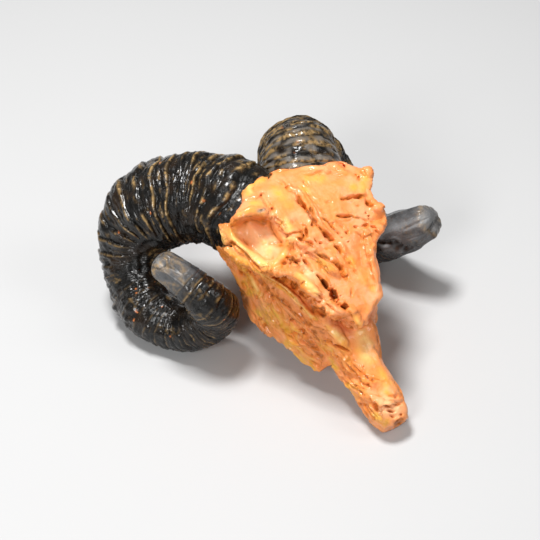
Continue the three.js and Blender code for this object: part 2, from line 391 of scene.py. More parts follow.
def cheek_shape(a, b, c):
    along = span(CHEEK, b)
    down = (1 - c) / 2
    top = between(PLATE, along, 3) - between(PLATE, along, 4) + 1.0
    top = top - FRONT_DROP * np.clip(along - CHEEK_FRONT, 0, None)
    palate = 1 - np.clip((np.abs(a) - PALATE_FROM) / PALATE_STEP, 0, 1)
    tooth = between(CHEEK, along, 3) + PALATE_DEPTH * palate
    flare = between(CHEEK, along, 2) - between(CHEEK, along, 1)
    width = between(CHEEK, along, 1) + flare * down ** (1 / (1 + BULGE))
    return a * width, along, top + (tooth - top) * down


def muzzle_shape(a, b, c):
    along = span(MUZZLE, b)
    above, below, top, bottom = (between(MUZZLE, along, column) for column in (1, 2, 3, 4))
    side, height = bar(a, c, below + (c + 1) / 2 * (above - below), top, bottom, MUZZLE_PINCH)
    return side + MUZZLE_LEAN * (b + 1) / 2, along, height


forms += [block("cheeks", 36, cheek_shape), block("muzzle", 28, muzzle_shape)]

# %% [markdown]
# The right eye socket opens upwards and outwards, so a flattened ball and a torus raise a mound for it.
# The left socket looks sideways from under the plate and gets the same. A small wedge behind the right
# socket is the broken end of the cheek arch.

# %% Eye sockets and cheek arch
SOCKETS = [
    # centre, direction of the mouth, radius, depth
    ((-17.4, 25.6, 12.2), (-0.62, 0.12, 0.775), 8.6, 4.4),
    ((21.6, 29.0, 5.0), (0.97, 0.10, 0.20), 6.8, 4.0),
]
RIM = 1.9  # mm, the thickness of the rim around a socket
MOUND, MOUND_SINK = 5, -0.8  # the ball under a socket is this much deeper than it, and this share lower


def socket_matrix(centre, direction):
    turn = Vector(direction).to_track_quat("Z", "Y").to_matrix().to_4x4()
    return TO_WORLD @ Matrix.Translation(Vector(centre)) @ turn


def place(piece, matrix):
    piece.matrix_world = matrix
    only(piece)
    bpy.ops.object.transform_apply(location=True, rotation=True, scale=True)
    return face_outwards(piece)


for centre, direction, radius, depth in SOCKETS:
    bpy.ops.mesh.primitive_torus_add(
        major_radius=radius + RIM * 0.6, minor_radius=RIM, major_segments=64, minor_segments=20
    )
    forms.append(place(bpy.context.active_object, socket_matrix(centre, direction)))
    flat = Matrix.Diagonal((radius + RIM * 2, radius + RIM * 2, depth + MOUND, 1))
    mound = flat @ Matrix.Translation((0, 0, MOUND_SINK))
    forms.append(place(sphere(48, 24), socket_matrix(centre, direction) @ mound))

# the right socket is longer towards the arch, so a second ball backs that corner
SOCKET_CORNER, CORNER_RADIUS = (-20.4, 16.6, 6.7), 5.2
corner = TO_WORLD @ Matrix.Translation(SOCKET_CORNER) @ Matrix.Scale(CORNER_RADIUS, 4)
forms.append(place(sphere(32, 16), corner))

# the four corners of the arch's end, and how far it reaches back into the head
ARCH = np.array([[(-29.0, 11.1, 8.0), (-24.9, 13.8, 10.0)], [(-29.6, 18.6, 5.4), (-25.6, 20.2, 6.4)]])
ARCH_BACK = np.array((5.6, -1.4, -10.0))
ARCH_ROUNDING = 0.14


def arch_shape(a, b, c):
    swell = 1 - ARCH_ROUNDING * (np.abs(a * b) + np.abs(b * c) + np.abs(a * c)) / 3
    u = (a * swell + 1)[:, None] / 2
    v = (b * swell + 1)[:, None] / 2
    upper = ARCH[0, 0] * (1 - u) + ARCH[0, 1] * u
    lower = ARCH[1, 0] * (1 - u) + ARCH[1, 1] * u
    front = upper * (1 - v) + lower * v
    return tuple((front + ARCH_BACK * ((1 - c * swell) / 2)[:, None]).T)


forms.append(block("arch", 10, arch_shape))
print(len(forms), "blocks")

# %% [markdown]
# The blocks become one solid by a voxel remesh, as a sculptor fuses lumps of clay.

# %% One body
COARSE, FINE = 0.5, 0.3  # mm, the size of the voxels


def fuse(pieces, voxel, smooth):
    """Joins the pieces into one closed skin and smooths it a number of times."""
    bpy.ops.object.select_all(action="DESELECT")
    for piece in pieces:
        piece.select_set(True)
    bpy.context.view_layer.objects.active = pieces[0]
    if len(pieces) > 1:
        bpy.ops.object.join()
    body = bpy.context.active_object
    body.name = body.data.name = "skull"
    apply_modifier(body, "REMESH", mode="VOXEL", voxel_size=voxel * MM)
    apply_modifier(body, "SMOOTH", factor=0.6, iterations=smooth)
    return body


def surface_of(piece):
    """The piece as something that rays can hit."""
    corners = [tuple(p) for p in points_of(piece)]
    return BVHTree.FromPolygons(corners, [tuple(face.vertices) for face in piece.data.polygons])


skull = fuse(forms, COARSE, 6)
print("skull blocked out:", len(skull.data.vertices), "points")

# %% [markdown]
# Rolls of clay are laid on the body where the camera sees them: the thick lower rim of the eye socket,
# the long ledge on the cheek, the lip of the plate above it, the lobe and the ridges on the muzzle, the
# strips and the lump on the cheek, and the bumps and the lip on the far edge of the plate. Each one
# follows picture points, and sinks into the surface by a share of its thickness.

# %% Rolls of clay
# each roll: how far its middle stands out, as a share of its radius, then rows of picture x, picture y
# and radius in mm
ROLLS = {
    "socket_lower_rim": (0.3, [
        (231, 227, 0.7), (232, 236, 1.6), (239, 245.5, 1.9), (249, 254.5, 2.1), (259, 262.5, 2.1),
        (268, 266, 2.0), (277, 263, 1.8), (284, 256, 1.5), (287, 248, 1.4), (291, 241, 1.4), (298, 239, 1.0),
    ]),
    "socket_upper_rim": (0.2, [
        (231, 226, 0.6), (236, 219.5, 1.1), (244, 214.5, 1.4), (253, 211.5, 1.6), (261, 211.5, 1.5),
        (268, 214, 1.0),
    ]),
    "cheek_ledge": (0.5, [
        (224, 247, 1.2), (232, 254, 1.5), (241, 259.5, 1.3), (252, 267, 0.9), (263, 275, 1.0),
        (275, 282.5, 1.2), (286, 290, 1.1), (296, 300.5, 1.0), (306, 312, 0.9), (318, 321, 0.8),
    ]),
    "arch_to_cheek": (0.2, [(219, 238, 1.3), (221, 245, 1.8), (227, 252, 1.5), (233, 257, 1.0)]),
    "cheek_rear_edge": (-0.1, [
        (221, 247, 1.4), (229, 258, 1.8), (236, 268, 2.0), (241, 279, 1.8), (243, 289, 1.0),
    ]),
    "cheek_yellow_fold": (0.15, [
        (240, 260, 0.8), (250, 272, 1.3), (256, 283, 1.4), (261, 296, 1.1), (266, 308, 0.8),
    ]),
    "plate_lip": (0.45, [
        (266, 269, 1.0), (277, 270, 1.5), (288, 270, 1.6), (297, 274, 1.8), (305, 282.5, 1.9),
        (312, 290, 1.6), (321, 296, 1.1),
    ]),
    "plate_end_lip": (0.3, [
        (311, 298, 1.0), (318, 304, 1.1), (326, 310.5, 1.2), (336, 312, 1.1), (345, 312, 1.0),
        (352, 312, 1.0), (357, 320, 1.2), (362, 324, 0.9),
    ]),
    "leaf": (0.25, [
        (291, 240, 0.7), (301, 244, 1.5), (312, 251, 1.7), (324, 261, 1.8), (334, 270, 1.6), (342, 277, 0.8),
    ]),
    "muzzle_lobe": (0.1, [
        (322, 321, 0.8), (331, 327, 1.6), (338, 335, 1.8), (344, 343, 1.4), (347, 348, 0.7),
    ]),
    "muzzle_side_ridge": (0.2, [
        (326, 341, 0.7), (335, 346, 1.0), (344, 354, 1.2), (349, 365, 1.3), (357, 374, 1.2), (363, 381, 0.8),
    ]),
    "nasal_ridge": (-0.1, [
        (364, 228, 0.8), (368, 245, 1.4), (371, 262, 1.5), (375, 280, 1.4), (378, 292, 0.8),
    ]),
    "horn_lip": (0.2, [
        (303, 169, 0.5), (312, 168.5, 0.9), (322, 168, 1.1), (332, 166, 1.3), (342, 170, 1.0),
        (348, 173, 0.5),
    ]),
    "corner_bump": (0.3, [(360, 172, 1.2), (366, 172, 1.9), (370, 177, 1.8)]),
    "side_bump_upper": (0.3, [(371, 205, 1.2), (377, 208, 1.9), (380, 213, 1.5)]),
    "side_bump_lower": (0.3, [(374, 226, 0.9), (380, 228, 1.6), (381, 234, 1.3)]),
    "cheek_strip_a": (0.1, [
        (262, 284, 0.6), (275, 295, 1.1), (290, 309, 1.2), (304, 323, 1.1), (317, 337, 1.1), (330, 357, 0.7),
    ]),
    "cheek_strip_b": (0.0, [(276, 323, 0.7), (286, 331, 1.2), (297, 340, 1.2), (310, 347, 0.7)]),
    "cheek_strip_c": (0.0, [(284, 315, 0.5), (296, 325, 1.0), (308, 337, 1.0), (318, 349, 0.6)]),
    "cheek_lump": (-0.1, [(266, 291, 1.2), (269, 298, 1.7), (267, 303, 1.2)]),
    "muzzle_flank": (0.0, [(331, 365, 0.6), (341, 375, 1.2), (352, 386, 1.2), (364, 395, 0.7)]),
    "muzzle_tip_ledge": (0.1, [
        (366, 392, 0.6), (373, 399, 1.2), (382, 403, 1.3), (392, 401, 1.1), (400, 398, 0.8),
    ]),
}
ROLL_AROUND, ROLL_ALONG = 14, 48
body_surface = surface_of(skull)


def laid(rows, standing):
    """Turns rows of picture x, y and radius into rows of x, y, z and radius in metres on the body."""
    toward, eye = np.array(back), np.array(camera.location)
    hits = [seen(body_surface, x, y) for x, y, _ in rows]
    known = [i for i, hit in enumerate(hits) if hit is not None]
    depths = np.interp(range(len(rows)), known, [(eye - hits[i]) @ toward for i in known])
    spots = []
    for (x, y, radius), depth in zip(rows, depths):
        ray = np.array(ray_through(x, y))
        spot = eye + ray * depth / -(ray @ toward) + toward * radius * standing * MM
        spots.append((*spot, radius * MM))
    return spots


rolls = [
    rod(name, laid(rows, standing), ROLL_AROUND, ROLL_ALONG) for name, (standing, rows) in ROLLS.items()
]
skull = fuse([skull, *rolls], COARSE, 3)
print(len(rolls), "rolls laid on, now", len(skull.data.vertices), "points")

# %% [markdown]
# The rest is pressing and scratching, point by point. Every point of the sculpt knows where it falls in
# the picture and whether the camera sees it, so a mark is a line in the picture and a profile across it.
# Seeded noise makes the lines waver as if they were made by hand.

# %% Tools for pressing
WAVER, TREMBLE = 0.45, 0.07  # how far a line wavers over its length and from point to point
GRAZING = (-0.05, 0.25)  # a mark starts where the skin faces the camera this much, and is full at that
OFF_SURFACE = (0.5, 0.8)  # mm along the normal and to the camera, where the test for being seen starts
UNEVEN, RAGGED = 0.3, 0.22  # how much the depth of the marks and the outline of the pits vary


class Look:
    """What the camera sees of a piece: picture places, weights, and how far each point is pushed."""

    def __init__(self, piece):
        points, self.normals = points_of(piece), normals_of(piece)
        eye = np.array(camera.location)
        local = (points - eye) @ np.array(camera.matrix_world.to_3x3())
        scale = LENS / SENSOR * FRAME_WIDTH / -local[:, 2]
        self.mm = points / MM
        waver = [
            WAVER * ripple(self.mm, 7.0, seed) + TREMBLE * ripple(self.mm, 2.0, seed + 1) for seed in (1, 3)
        ]
        self.x = FRAME_WIDTH / 2 + local[:, 0] * scale + waver[0]
        self.y = FRAME_WIDTH / 2 - local[:, 1] * scale + waver[1]
        self.to_camera = unit(eye - points)
        self.weight = smooth_step(*GRAZING, (self.normals * self.to_camera).sum(1))
        surface = surface_of(piece)
        starts = points + (self.normals * OFF_SURFACE[0] + self.to_camera * OFF_SURFACE[1]) * MM
        for i in np.flatnonzero(self.weight):
            if surface.ray_cast(Vector(starts[i]), Vector(self.to_camera[i]))[0] is not None:
                self.weight[i] = 0
        self.uneven = 1 + UNEVEN * ripple(self.mm, 3.0, 5)
        self.ragged = 1 + RAGGED * ripple(self.mm, 1.6, 6)
        self.push = np.zeros(len(points))
        self.pull = np.zeros(len(points))

    def near(self, line, reach):
        """Points near a picture line: which, how far, on which side (+ is right) and the share of the way."""
        line = np.array(line, dtype=float)
        low, high = line.min(0) - reach, line.max(0) + reach
        around = (self.x > low[0]) & (self.x < high[0]) & (self.y > low[1]) & (self.y < high[1])
        which = np.flatnonzero(around & (self.weight > 0))
        x, y = self.x[which], self.y[which]
        far, side, share, run = np.full(len(which), 1e9), np.ones(len(which)), np.zeros(len(which)), 0.0
        for (px, py), (qx, qy) in zip(line[:-1], line[1:]):
            dx, dy = qx - px, qy - py
            length = math.hypot(dx, dy)
            t = np.clip(((x - px) * dx + (y - py) * dy) / length**2, 0, 1)
            ox, oy = x - px - t * dx, y - py - t * dy
            closer = np.hypot(ox, oy) < far
            far[closer] = np.hypot(ox, oy)[closer]
            side[closer] = np.sign(dx * oy - dy * ox)[closer]
            share[closer] = (run + t * length)[closer]
            run += length
        return which, far, side, share / run

    def soft(self, line, width, height):
        """A soft ridge, or a hollow when the height is negative."""
        which, far = self.near(line, width * 2.5)[:2]
        self.push[which] += height * bump(far, width) * self.weight[which]

    def cut(self, line, width, depth):
        """A narrow groove with pointed ends and slightly raised lips."""
        which, far, _, share = self.near(line, width * 4)
        ends = np.sin(np.pi * np.clip(share, 0.04, 0.96)) ** 0.35
        profile = bump(far, width * ends) - 0.2 * bump(far - 2.2 * width, width)
        self.push[which] -= depth * profile * ends * self.weight[which] * self.uneven[which]

    def fold(self, line, width, height, under):
        """An overlap: left of the line the clay rises to a sharp edge, right of it it drops away."""
        which, far, side, share = self.near(line, width * 4)
        ends = np.sin(np.pi * np.clip(share, 0.03, 0.97)) ** 0.5
        dropped = smooth_step(-0.7, 0.7, far * side)
        raised = height * np.exp(-far / width) * (1 - dropped)
        lowered = under * np.exp(-far / (0.6 * width)) * dropped
        self.push[which] += (raised - lowered) * ends * self.weight[which] * self.uneven[which]

    def pit(self, x, y, radius, depth, squash=1.0, turn=0.0):
        """A hole pressed straight in, as seen by the camera."""
        turn = math.radians(turn)
        u = (self.x - x) * math.cos(turn) + (self.y - y) * math.sin(turn)
        v = ((self.y - y) * math.cos(turn) - (self.x - x) * math.sin(turn)) / squash
        self.pull -= depth * np.exp(-((np.hypot(u, v) / (radius * self.ragged)) ** 4)) * self.weight

    def brushed(self, lines):
        """How much of a paint lies on each point, from the lines it was brushed along and their widths."""
        amount = np.zeros(len(self.x))
        for line, width in lines:
            which, far = self.near(line, width * 2)[:2]
            amount[which] = np.maximum(amount[which], bump(far, width) * self.weight[which])
        return amount

    def apply(self, piece):
        """Moves the points of the piece along their normals, and holes away from the camera."""
        offset = self.normals * self.push[:, None] + self.to_camera * self.pull[:, None]
        move_points(piece, points_of(piece) + offset * MM)


print("pressing tools ready")

# %% [markdown]
# First the big hollows and swellings. The bowl of the right eye is the deepest: its wall is steep under
# the upper rim, and its floor rises gently to the lower rim. The trough under the lip of the plate is
# pressed in the same way, between two lines.

# %% Big hollows and swellings
# two edges of each hollow, the depth in mm, and how wide the wall is at the first and the second edge
HOLLOWS = {
    "socket_bowl": (
        [(230.5, 228), (234, 222.5), (238, 219), (243, 217), (249, 216), (256, 214.5), (262, 216),
         (268, 218), (274, 222), (279, 229), (283, 238), (285, 245)],
        [(230.5, 228), (233, 237), (240, 243), (248, 249), (256, 256), (264, 262), (271, 262),
         (277, 257), (282, 251), (285, 245)],
        4.0, 7.0, 20.0,
    ),
    "lip_trough": (
        [(264, 274), (276, 275.5), (286, 274.5), (293, 277), (299, 282), (304, 290), (309, 296),
         (314, 302), (320, 309), (326, 316)],
        [(264, 274), (274, 279), (282, 285), (290, 291.5), (298, 300), (306, 309), (314, 316), (326, 316)],
        5.0, 1.8, 9.0,
    ),
    "behind_the_plate": (
        [(233, 222), (236, 214), (240, 206), (243, 197), (246, 189), (250, 183), (256, 180.5), (262, 177),
         (265, 178.5), (268.5, 181), (272, 177), (275, 173), (282, 170), (291, 169.5), (300, 168),
         (312, 167), (320, 167.5), (326, 166), (329, 162), (332, 159.5), (337, 162), (341, 167), (345, 171)],
        [(215, 210), (222, 170), (250, 140), (300, 130), (350, 150)],
        12.0, 2.0, 0.1,
    ),
}
HOLLOW_REACH = 60  # how far, in picture points, the distance from an edge is measured
# line, width in picture points, height in mm
SOFT_FORMS = [
    ([(251, 205), (259, 204)], 7, 0.7),
    ([(267, 245), (274, 246), (281, 244)], 3, -0.7),
    ([(295, 194), (303, 206), (311, 217), (316, 226)], 2.6, -0.6),
    ([(318, 228), (325, 235), (331, 242)], 2.4, -0.5),
    ([(303, 231), (304, 237)], 3.4, -1.2),
    ([(263, 195), (268, 203), (271, 210)], 3.2, -1.1),
    ([(276, 190), (284, 197), (288, 205)], 8, 0.5),
    ([(262, 180), (252, 184), (246, 194), (240, 206), (235, 217)], 2.6, 0.8),
    ([(300, 186), (320, 205), (332, 222)], 5, -0.5),
    ([(325, 180), (345, 186), (360, 190)], 9, 0.5),
    ([(340, 205), (355, 212)], 9, 0.5),
    ([(297, 221), (309, 233)], 4, -0.8),
    ([(281, 266), (293, 267), (303, 271)], 5, -1.0),
    ([(318, 240), (334, 254), (346, 270)], 3, -0.7),
    ([(360, 240), (363, 262), (371, 284)], 5, -0.7),
    ([(350, 262), (360, 273), (368, 284)], 4.5, 0.6),
    ([(366, 195), (371, 202)], 3, -1.2),
    ([(372, 220), (382, 219)], 2, -0.9),
    ([(367, 338), (371, 350)], 6, -0.35),
    ([(376, 347), (380, 355)], 2.2, -0.7),
    ([(340, 321), (350, 328)], 4, -1.2),
    ([(335, 333), (344, 342)], 4, 0.5),
    ([(330, 345), (340, 353)], 4, 0.5),
    ([(340, 370), (352, 383), (362, 392)], 3.5, 0.6),
    ([(368, 379), (374, 383)], 2.6, 0.9),
    ([(368, 396), (379, 400)], 3.5, 0.8),
    ([(341, 318), (352, 330)], 6, -0.6),
    ([(243, 275), (252, 300), (260, 318)], 4, -0.7),
    ([(251, 268), (263, 283), (276, 296)], 3, -0.8),
    ([(275, 316), (290, 331), (304, 347)], 8, 0.6),
    ([(300, 330), (318, 350)], 4, -0.8),
    ([(287, 320), (296, 330)], 3.5, -0.5),
    ([(372, 384), (384, 378)], 5, 0.5),
    ([(388, 390), (392, 393)], 4, 0.9),
    ([(383, 410), (389, 420)], 5, 0.5),
]


def within(x, y, ring):
    """True where a picture place lies within a closed ring of points."""
    hits = np.zeros(len(x), dtype=bool)
    for (px, py), (qx, qy) in zip(ring, ring[1:] + ring[:1]):
        level = (py > y) != (qy > y)
        hits ^= level & (x < (qx - px) * (y - py) / (qy - py + 1e-12) + px)
    return hits


look = Look(skull)
for first, second, depth, first_wall, second_wall in HOLLOWS.values():
    inside = within(look.x, look.y, first + second[::-1]) & (look.weight > 0)
    from_first, from_second = np.zeros(len(look.x)), np.zeros(len(look.x))
    for edge, store in ((first, from_first), (second, from_second)):
        which, far = look.near(edge, HOLLOW_REACH)[:2]
        store[which] = far
    rise = 1 - np.exp(-((from_second / second_wall * 1.8) ** 1.2))
    look.pull -= depth * (smooth_step(0, first_wall, from_first) * rise) * inside
for line, width, height in SOFT_FORMS:
    look.soft(line, width, height)
look.apply(skull)
print(len(HOLLOWS), "hollows and", len(SOFT_FORMS), "soft forms pressed")

# %% [markdown]
# The left socket has no camera on it, so a ball cuts its bowl. The finer remesh that follows gives every
# wall that was stretched an even skin again.

# %% Left socket and a finer skin
centre, direction, radius, depth = SOCKETS[1]
MOUTH = 2.5  # the upper half of the ball is this much longer, so that it cuts through all the bone above
bowl = sphere(48, 24)
ball = points_of(bowl)
ball[:, 2] = np.where(ball[:, 2] > 0, ball[:, 2] * MOUTH, ball[:, 2])
move_points(bowl, ball)
place(bowl, socket_matrix(centre, direction) @ Matrix.Diagonal((radius, radius, depth, 1)))
apply_modifier(skull, "BOOLEAN", operation="DIFFERENCE", object=bowl, solver="EXACT")
bpy.data.objects.remove(bowl)
skull = fuse([skull], FINE, 1)
print("finer skin:", len(skull.data.vertices), "points")

# %% [markdown]
# Now the marks that were made with a tool: overlaps where one strip of clay lies over the next, narrow
# cuts, and pits. The surface as a whole also gets long fibres along the head, strong on the cheeks and
# weak on top, and shallow creases, which are rougher where the clay was left as it was.

# %% Folds, cuts and pits
# line, how fast it fades in picture points, height and drop in mm
FOLDS = [
    ([(304, 174), (312, 173.5), (322, 172), (331, 171), (338, 173), (346, 174.5)], 4, 0.5, 0.5),
    ([(262, 271.5), (268, 274), (277, 275), (287, 274.5), (293, 276.5), (299, 282), (304, 290), (308, 295)],
     4, 0.7, 1.4),
    ([(308, 295), (313, 301), (320, 308), (327, 315), (335, 317), (344, 317), (351, 314)], 4, 0.8, 1.3),
    ([(351, 313), (354, 319), (358.5, 325), (365, 325), (368, 317), (372, 308), (375, 302)], 3.5, 0.7, 1.5),
    ([(336, 300), (341, 306), (347, 311), (352, 313)], 2.5, 0.4, 0.8),
    ([(326, 303), (332, 309), (340, 313.5)], 2.5, 0.5, 0.6),
    ([(240, 253), (250, 261), (262, 274), (274, 281.5), (285, 288.5), (295, 299), (305, 311), (316, 320)],
     3, 0.7, 0.9),
    ([(327, 258), (319, 251.5), (309, 244), (300, 239.5), (292, 237), (284, 238)], 3, 0.6, 0.7),
    ([(315, 251), (322, 256), (330, 260), (336, 263.5), (341, 267), (343.5, 272), (347, 279)], 3.5, 0.5, 1.0),
    ([(278, 182), (288, 188.5), (297, 195), (304, 206), (312, 219), (319, 229)], 3.5, 0.5, 0.4),
    ([(303, 194), (310, 205), (318, 220), (328, 234), (338, 245), (350, 260), (357, 274)], 3, 0.3, 0.35),
    ([(369.5, 219.5), (364, 232), (365, 246), (369, 262), (374, 280)], 3, 0.35, 0.3),
    ([(270, 221), (273, 228), (277, 236), (282, 243)], 2.5, 0.35, 0.3),
    ([(231, 227), (235, 221), (243, 217.5), (251, 216.5), (257, 214.5), (265, 217.5), (269, 220)],
     2.5, 0.3, 0.8),
    ([(265, 261), (260, 256), (253, 251), (245, 246), (238, 240), (233, 235)], 3, 0.12, 0.1),
    ([(372, 243), (369, 256), (372, 270), (376, 284)], 2.5, 0.4, 0.4),
    ([(326, 340), (336, 343), (342, 346), (348, 349.5)], 3, 0.7, 0.9),
    ([(326, 341), (334, 345), (343, 353), (348, 362)], 3, 0.4, 0.4),
    ([(346, 362), (352, 369), (358, 376), (362, 381)], 3.5, 0.6, 0.7),
    ([(366, 394), (372, 400), (380, 405.5), (390, 405), (400, 402)], 3, 0.5, 0.7),
    ([(275, 322), (284, 330), (293, 336), (302, 345), (311, 347.5)], 3, 0.5, 0.5),
    ([(260, 282), (270, 290), (280, 299), (290, 309), (303, 322), (314, 333), (324, 346), (333, 361)],
     3, 0.6, 0.5),
    ([(282, 318), (293, 326), (305, 338), (313, 349)], 2.5, 0.45, 0.4),
    ([(296, 303), (304, 311), (312, 319)], 2.5, 0.4, 0.4),
    ([(330, 366), (337, 371), (345, 379), (355, 388), (363, 394)], 3, 0.5, 0.5),
    ([(338, 364), (346, 373), (354, 382)], 2.5, 0.4, 0.4),
    ([(222, 247), (233, 259), (242, 267), (249, 276), (253, 288)], 3, 0.5, 0.6),
    ([(247, 262), (255, 274), (260, 288), (265, 302)], 2.5, 0.4, 0.5),
    ([(266, 300), (280, 313), (296, 330), (312, 350), (322, 362)], 3, 0.4, 0.4),
    ([(263, 312), (275, 322), (288, 338), (300, 352), (312, 364)], 3, 0.35, 0.4),
    ([(284, 221), (279, 229), (284, 233), (292, 233), (299, 231)], 3, 0.4, 0.4),
    ([(245, 200), (255, 197), (263, 194)], 3, 0.4, 0.5),
    ([(282, 243), (275, 244), (268, 243)], 3, 0.15, 0.4),
    ([(356, 232), (364, 238), (372, 233)], 3, 0.3, 0.3),
    ([(350, 216), (360, 218), (372, 222)], 3, 0.3, 0.3),
    ([(300, 345), (310, 353), (322, 361)], 2.5, 0.4, 0.4),
    ([(331, 352), (340, 361), (348, 373), (357, 386), (366, 398)], 2.5, 0.45, 0.45),
    ([(333, 372), (344, 385), (354, 397), (364, 408), (373, 417)], 2.5, 0.4, 0.4),
    ([(352, 362), (361, 372), (370, 378), (381, 380)], 2.5, 0.35, 0.35),
]
# line, width in picture points, depth in mm
CUTS = [
    ([(316, 252), (323, 256.5), (330, 260.5), (336, 264), (341, 268), (344, 273), (347, 279)], 1.3, 1.3),
    ([(298, 237.5), (303, 240.5), (308, 243), (313, 247)], 1.1, 1.0),
    ([(317, 276), (324, 284), (331, 292)], 1.6, 1.2),
    ([(287, 258), (293, 259), (299, 265)], 1.3, 1.2),
    ([(289, 264), (295, 263), (301, 259)], 1.3, 0.9),
    ([(296, 256), (301, 262)], 1.3, 0.9),
    ([(262, 272.5), (268, 275), (277, 276), (287, 275.5), (293, 278), (299, 283)], 1.2, 0.9),
    ([(233, 243), (243, 252.5), (254, 262.5), (263, 272.5)], 1.3, 1.2),
    ([(296.5, 191.5), (298, 195), (301.5, 198)], 0.9, 0.8),
    ([(298, 196.5), (299.5, 199.5), (301, 202.5)], 1.7, 1.9),
    ([(301, 202.5), (303, 205.5), (305, 208), (307, 210)], 1.4, 1.7),
    ([(307.5, 211), (310, 213.5), (312, 216.5)], 1.6, 1.9),
    ([(311, 216), (313.5, 219), (315.5, 222), (316, 225)], 1.9, 2.2),
    ([(312, 223), (313, 226.5)], 1.3, 1.5),
    ([(309.5, 208), (312, 211.5), (314, 215)], 1.2, 1.3),
    ([(323, 217.5), (328, 221), (331.5, 226), (335, 229.5)], 1.2, 1.3),
    ([(335, 229.5), (339, 233.5), (343, 238)], 0.8, 0.7),
    ([(319.5, 228), (323, 232), (326.5, 236.5), (330.5, 241)], 1.4, 1.7),
    ([(316, 225), (318, 227), (320, 229)], 0.8, 0.8),
    ([(330.5, 241), (334, 240)], 0.9, 0.7),
    ([(335.5, 246.5), (339, 247.5), (340.5, 250), (341.5, 253)], 1.5, 1.6),
    ([(341, 253), (346, 261), (351, 268), (357, 277)], 0.8, 0.7),
    ([(344, 254), (349, 262), (354, 268)], 0.7, 0.6),
    ([(341.5, 199.5), (347, 198), (354, 197), (362, 196)], 1.4, 1.4),
    ([(355, 197), (361.5, 196)], 2.0, 1.3),
    ([(337, 216.5), (344, 217), (352, 216)], 1.3, 1.3),
    ([(366.5, 202), (369, 203.5), (372, 205.5)], 1.5, 1.5),
    ([(303, 186), (310, 196), (318, 207), (324, 217)], 0.7, 0.5),
    ([(308, 197), (316, 210), (323, 222), (330, 232)], 0.7, 0.45),
    ([(314, 198), (322, 210), (330, 221)], 0.6, 0.35),
    ([(283, 180), (287, 187)], 1.2, 0.7),
    ([(287, 187), (291, 190), (297, 195)], 1.1, 0.7),
    ([(303, 180), (308, 185)], 0.9, 0.6),
    ([(319, 242), (323, 244)], 1.0, 0.7),
    ([(313, 236), (318, 244)], 1.0, 0.7),
    ([(301, 254), (305, 260), (309, 266), (313, 271)], 1.5, 1.6),
    ([(304, 254), (308, 253), (314, 255)], 0.8, 0.6),
    ([(315, 254), (319, 260), (321, 266), (322, 273)], 0.9, 0.7),
    ([(313, 271), (320, 279)], 0.6, 0.6),
    ([(306, 226), (306.5, 231), (306.5, 236)], 1.3, 1.8),
    ([(302, 224), (306, 227)], 0.9, 0.7),
    ([(298, 238), (303, 241)], 1.0, 0.9),
    ([(307, 241), (313, 245)], 0.9, 0.7),
    ([(331, 236), (337, 243), (345, 253)], 0.6, 0.4),
    ([(345, 232), (348, 234)], 1.0, 0.9),
    ([(355, 227), (359, 228)], 1.0, 0.8),
    ([(357, 206), (362, 208)], 0.9, 0.6),
    ([(336, 222), (342, 226), (346, 230)], 0.8, 0.6),
    ([(326, 202), (331, 202)], 0.8, 0.5),
    ([(370, 226), (377, 227)], 1.2, 0.9),
    ([(374, 229), (378, 233)], 1.0, 0.7),
    ([(322, 308), (323, 316)], 2.0, 2.4),
    ([(340, 270), (346, 278)], 1.2, 0.8),
    ([(315, 293), (322, 297), (329, 302)], 1.0, 0.8),
    ([(318, 300), (322, 302)], 1.0, 0.8),
    ([(322, 299), (324, 302)], 0.8, 0.7),
    ([(352, 288), (351, 296)], 1.0, 0.5),
    ([(240, 269.5), (245.5, 276)], 1.5, 1.2),
    ([(243, 282), (248, 292)], 1.2, 0.8),
    ([(228, 244), (233, 246)], 1.2, 1.0),
    ([(222, 223), (223, 228)], 1.2, 0.8),
    ([(325, 338), (333, 342), (341, 346), (348, 350)], 0.9, 0.9),
    ([(356, 377), (361, 380)], 1.1, 0.9),
    ([(367, 377), (373, 381.5)], 1.5, 1.4),
    ([(364, 371), (364, 376)], 1.0, 0.7),
    ([(364, 384), (371, 387)], 1.0, 0.8),
    ([(360, 392), (364, 395)], 1.2, 1.0),
    ([(374.5, 403), (377, 411)], 1.3, 1.5),
    ([(376, 416), (373, 419)], 1.2, 0.9),
    ([(388, 396), (394, 396), (400, 398)], 1.1, 0.8),
    ([(386, 407), (393, 404), (401, 404)], 0.9, 0.7),
    ([(384, 401), (391, 400), (398, 402)], 0.9, 0.8),
    ([(382, 405), (390, 406), (397, 407)], 0.9, 0.7),
    ([(387, 411), (394, 411)], 1.1, 0.8),
    ([(389, 415), (394, 418)], 1.2, 0.9),
    ([(395, 423.5), (399, 422), (403, 420)], 1.8, 2.0),
    ([(380, 413), (383, 420)], 1.0, 0.6),
    ([(362, 408), (368, 416)], 1.0, 0.6),
    ([(357, 402), (364, 404), (370, 408)], 1.0, 0.7),
    ([(339, 354), (336, 357)], 1.0, 0.6),
    ([(315, 350), (321, 357)], 1.2, 1.0),
    ([(314, 344), (320, 351)], 1.0, 0.8),
    ([(301, 326), (308, 335)], 1.0, 0.7),
    ([(293, 318), (300, 326)], 1.0, 0.7),
]
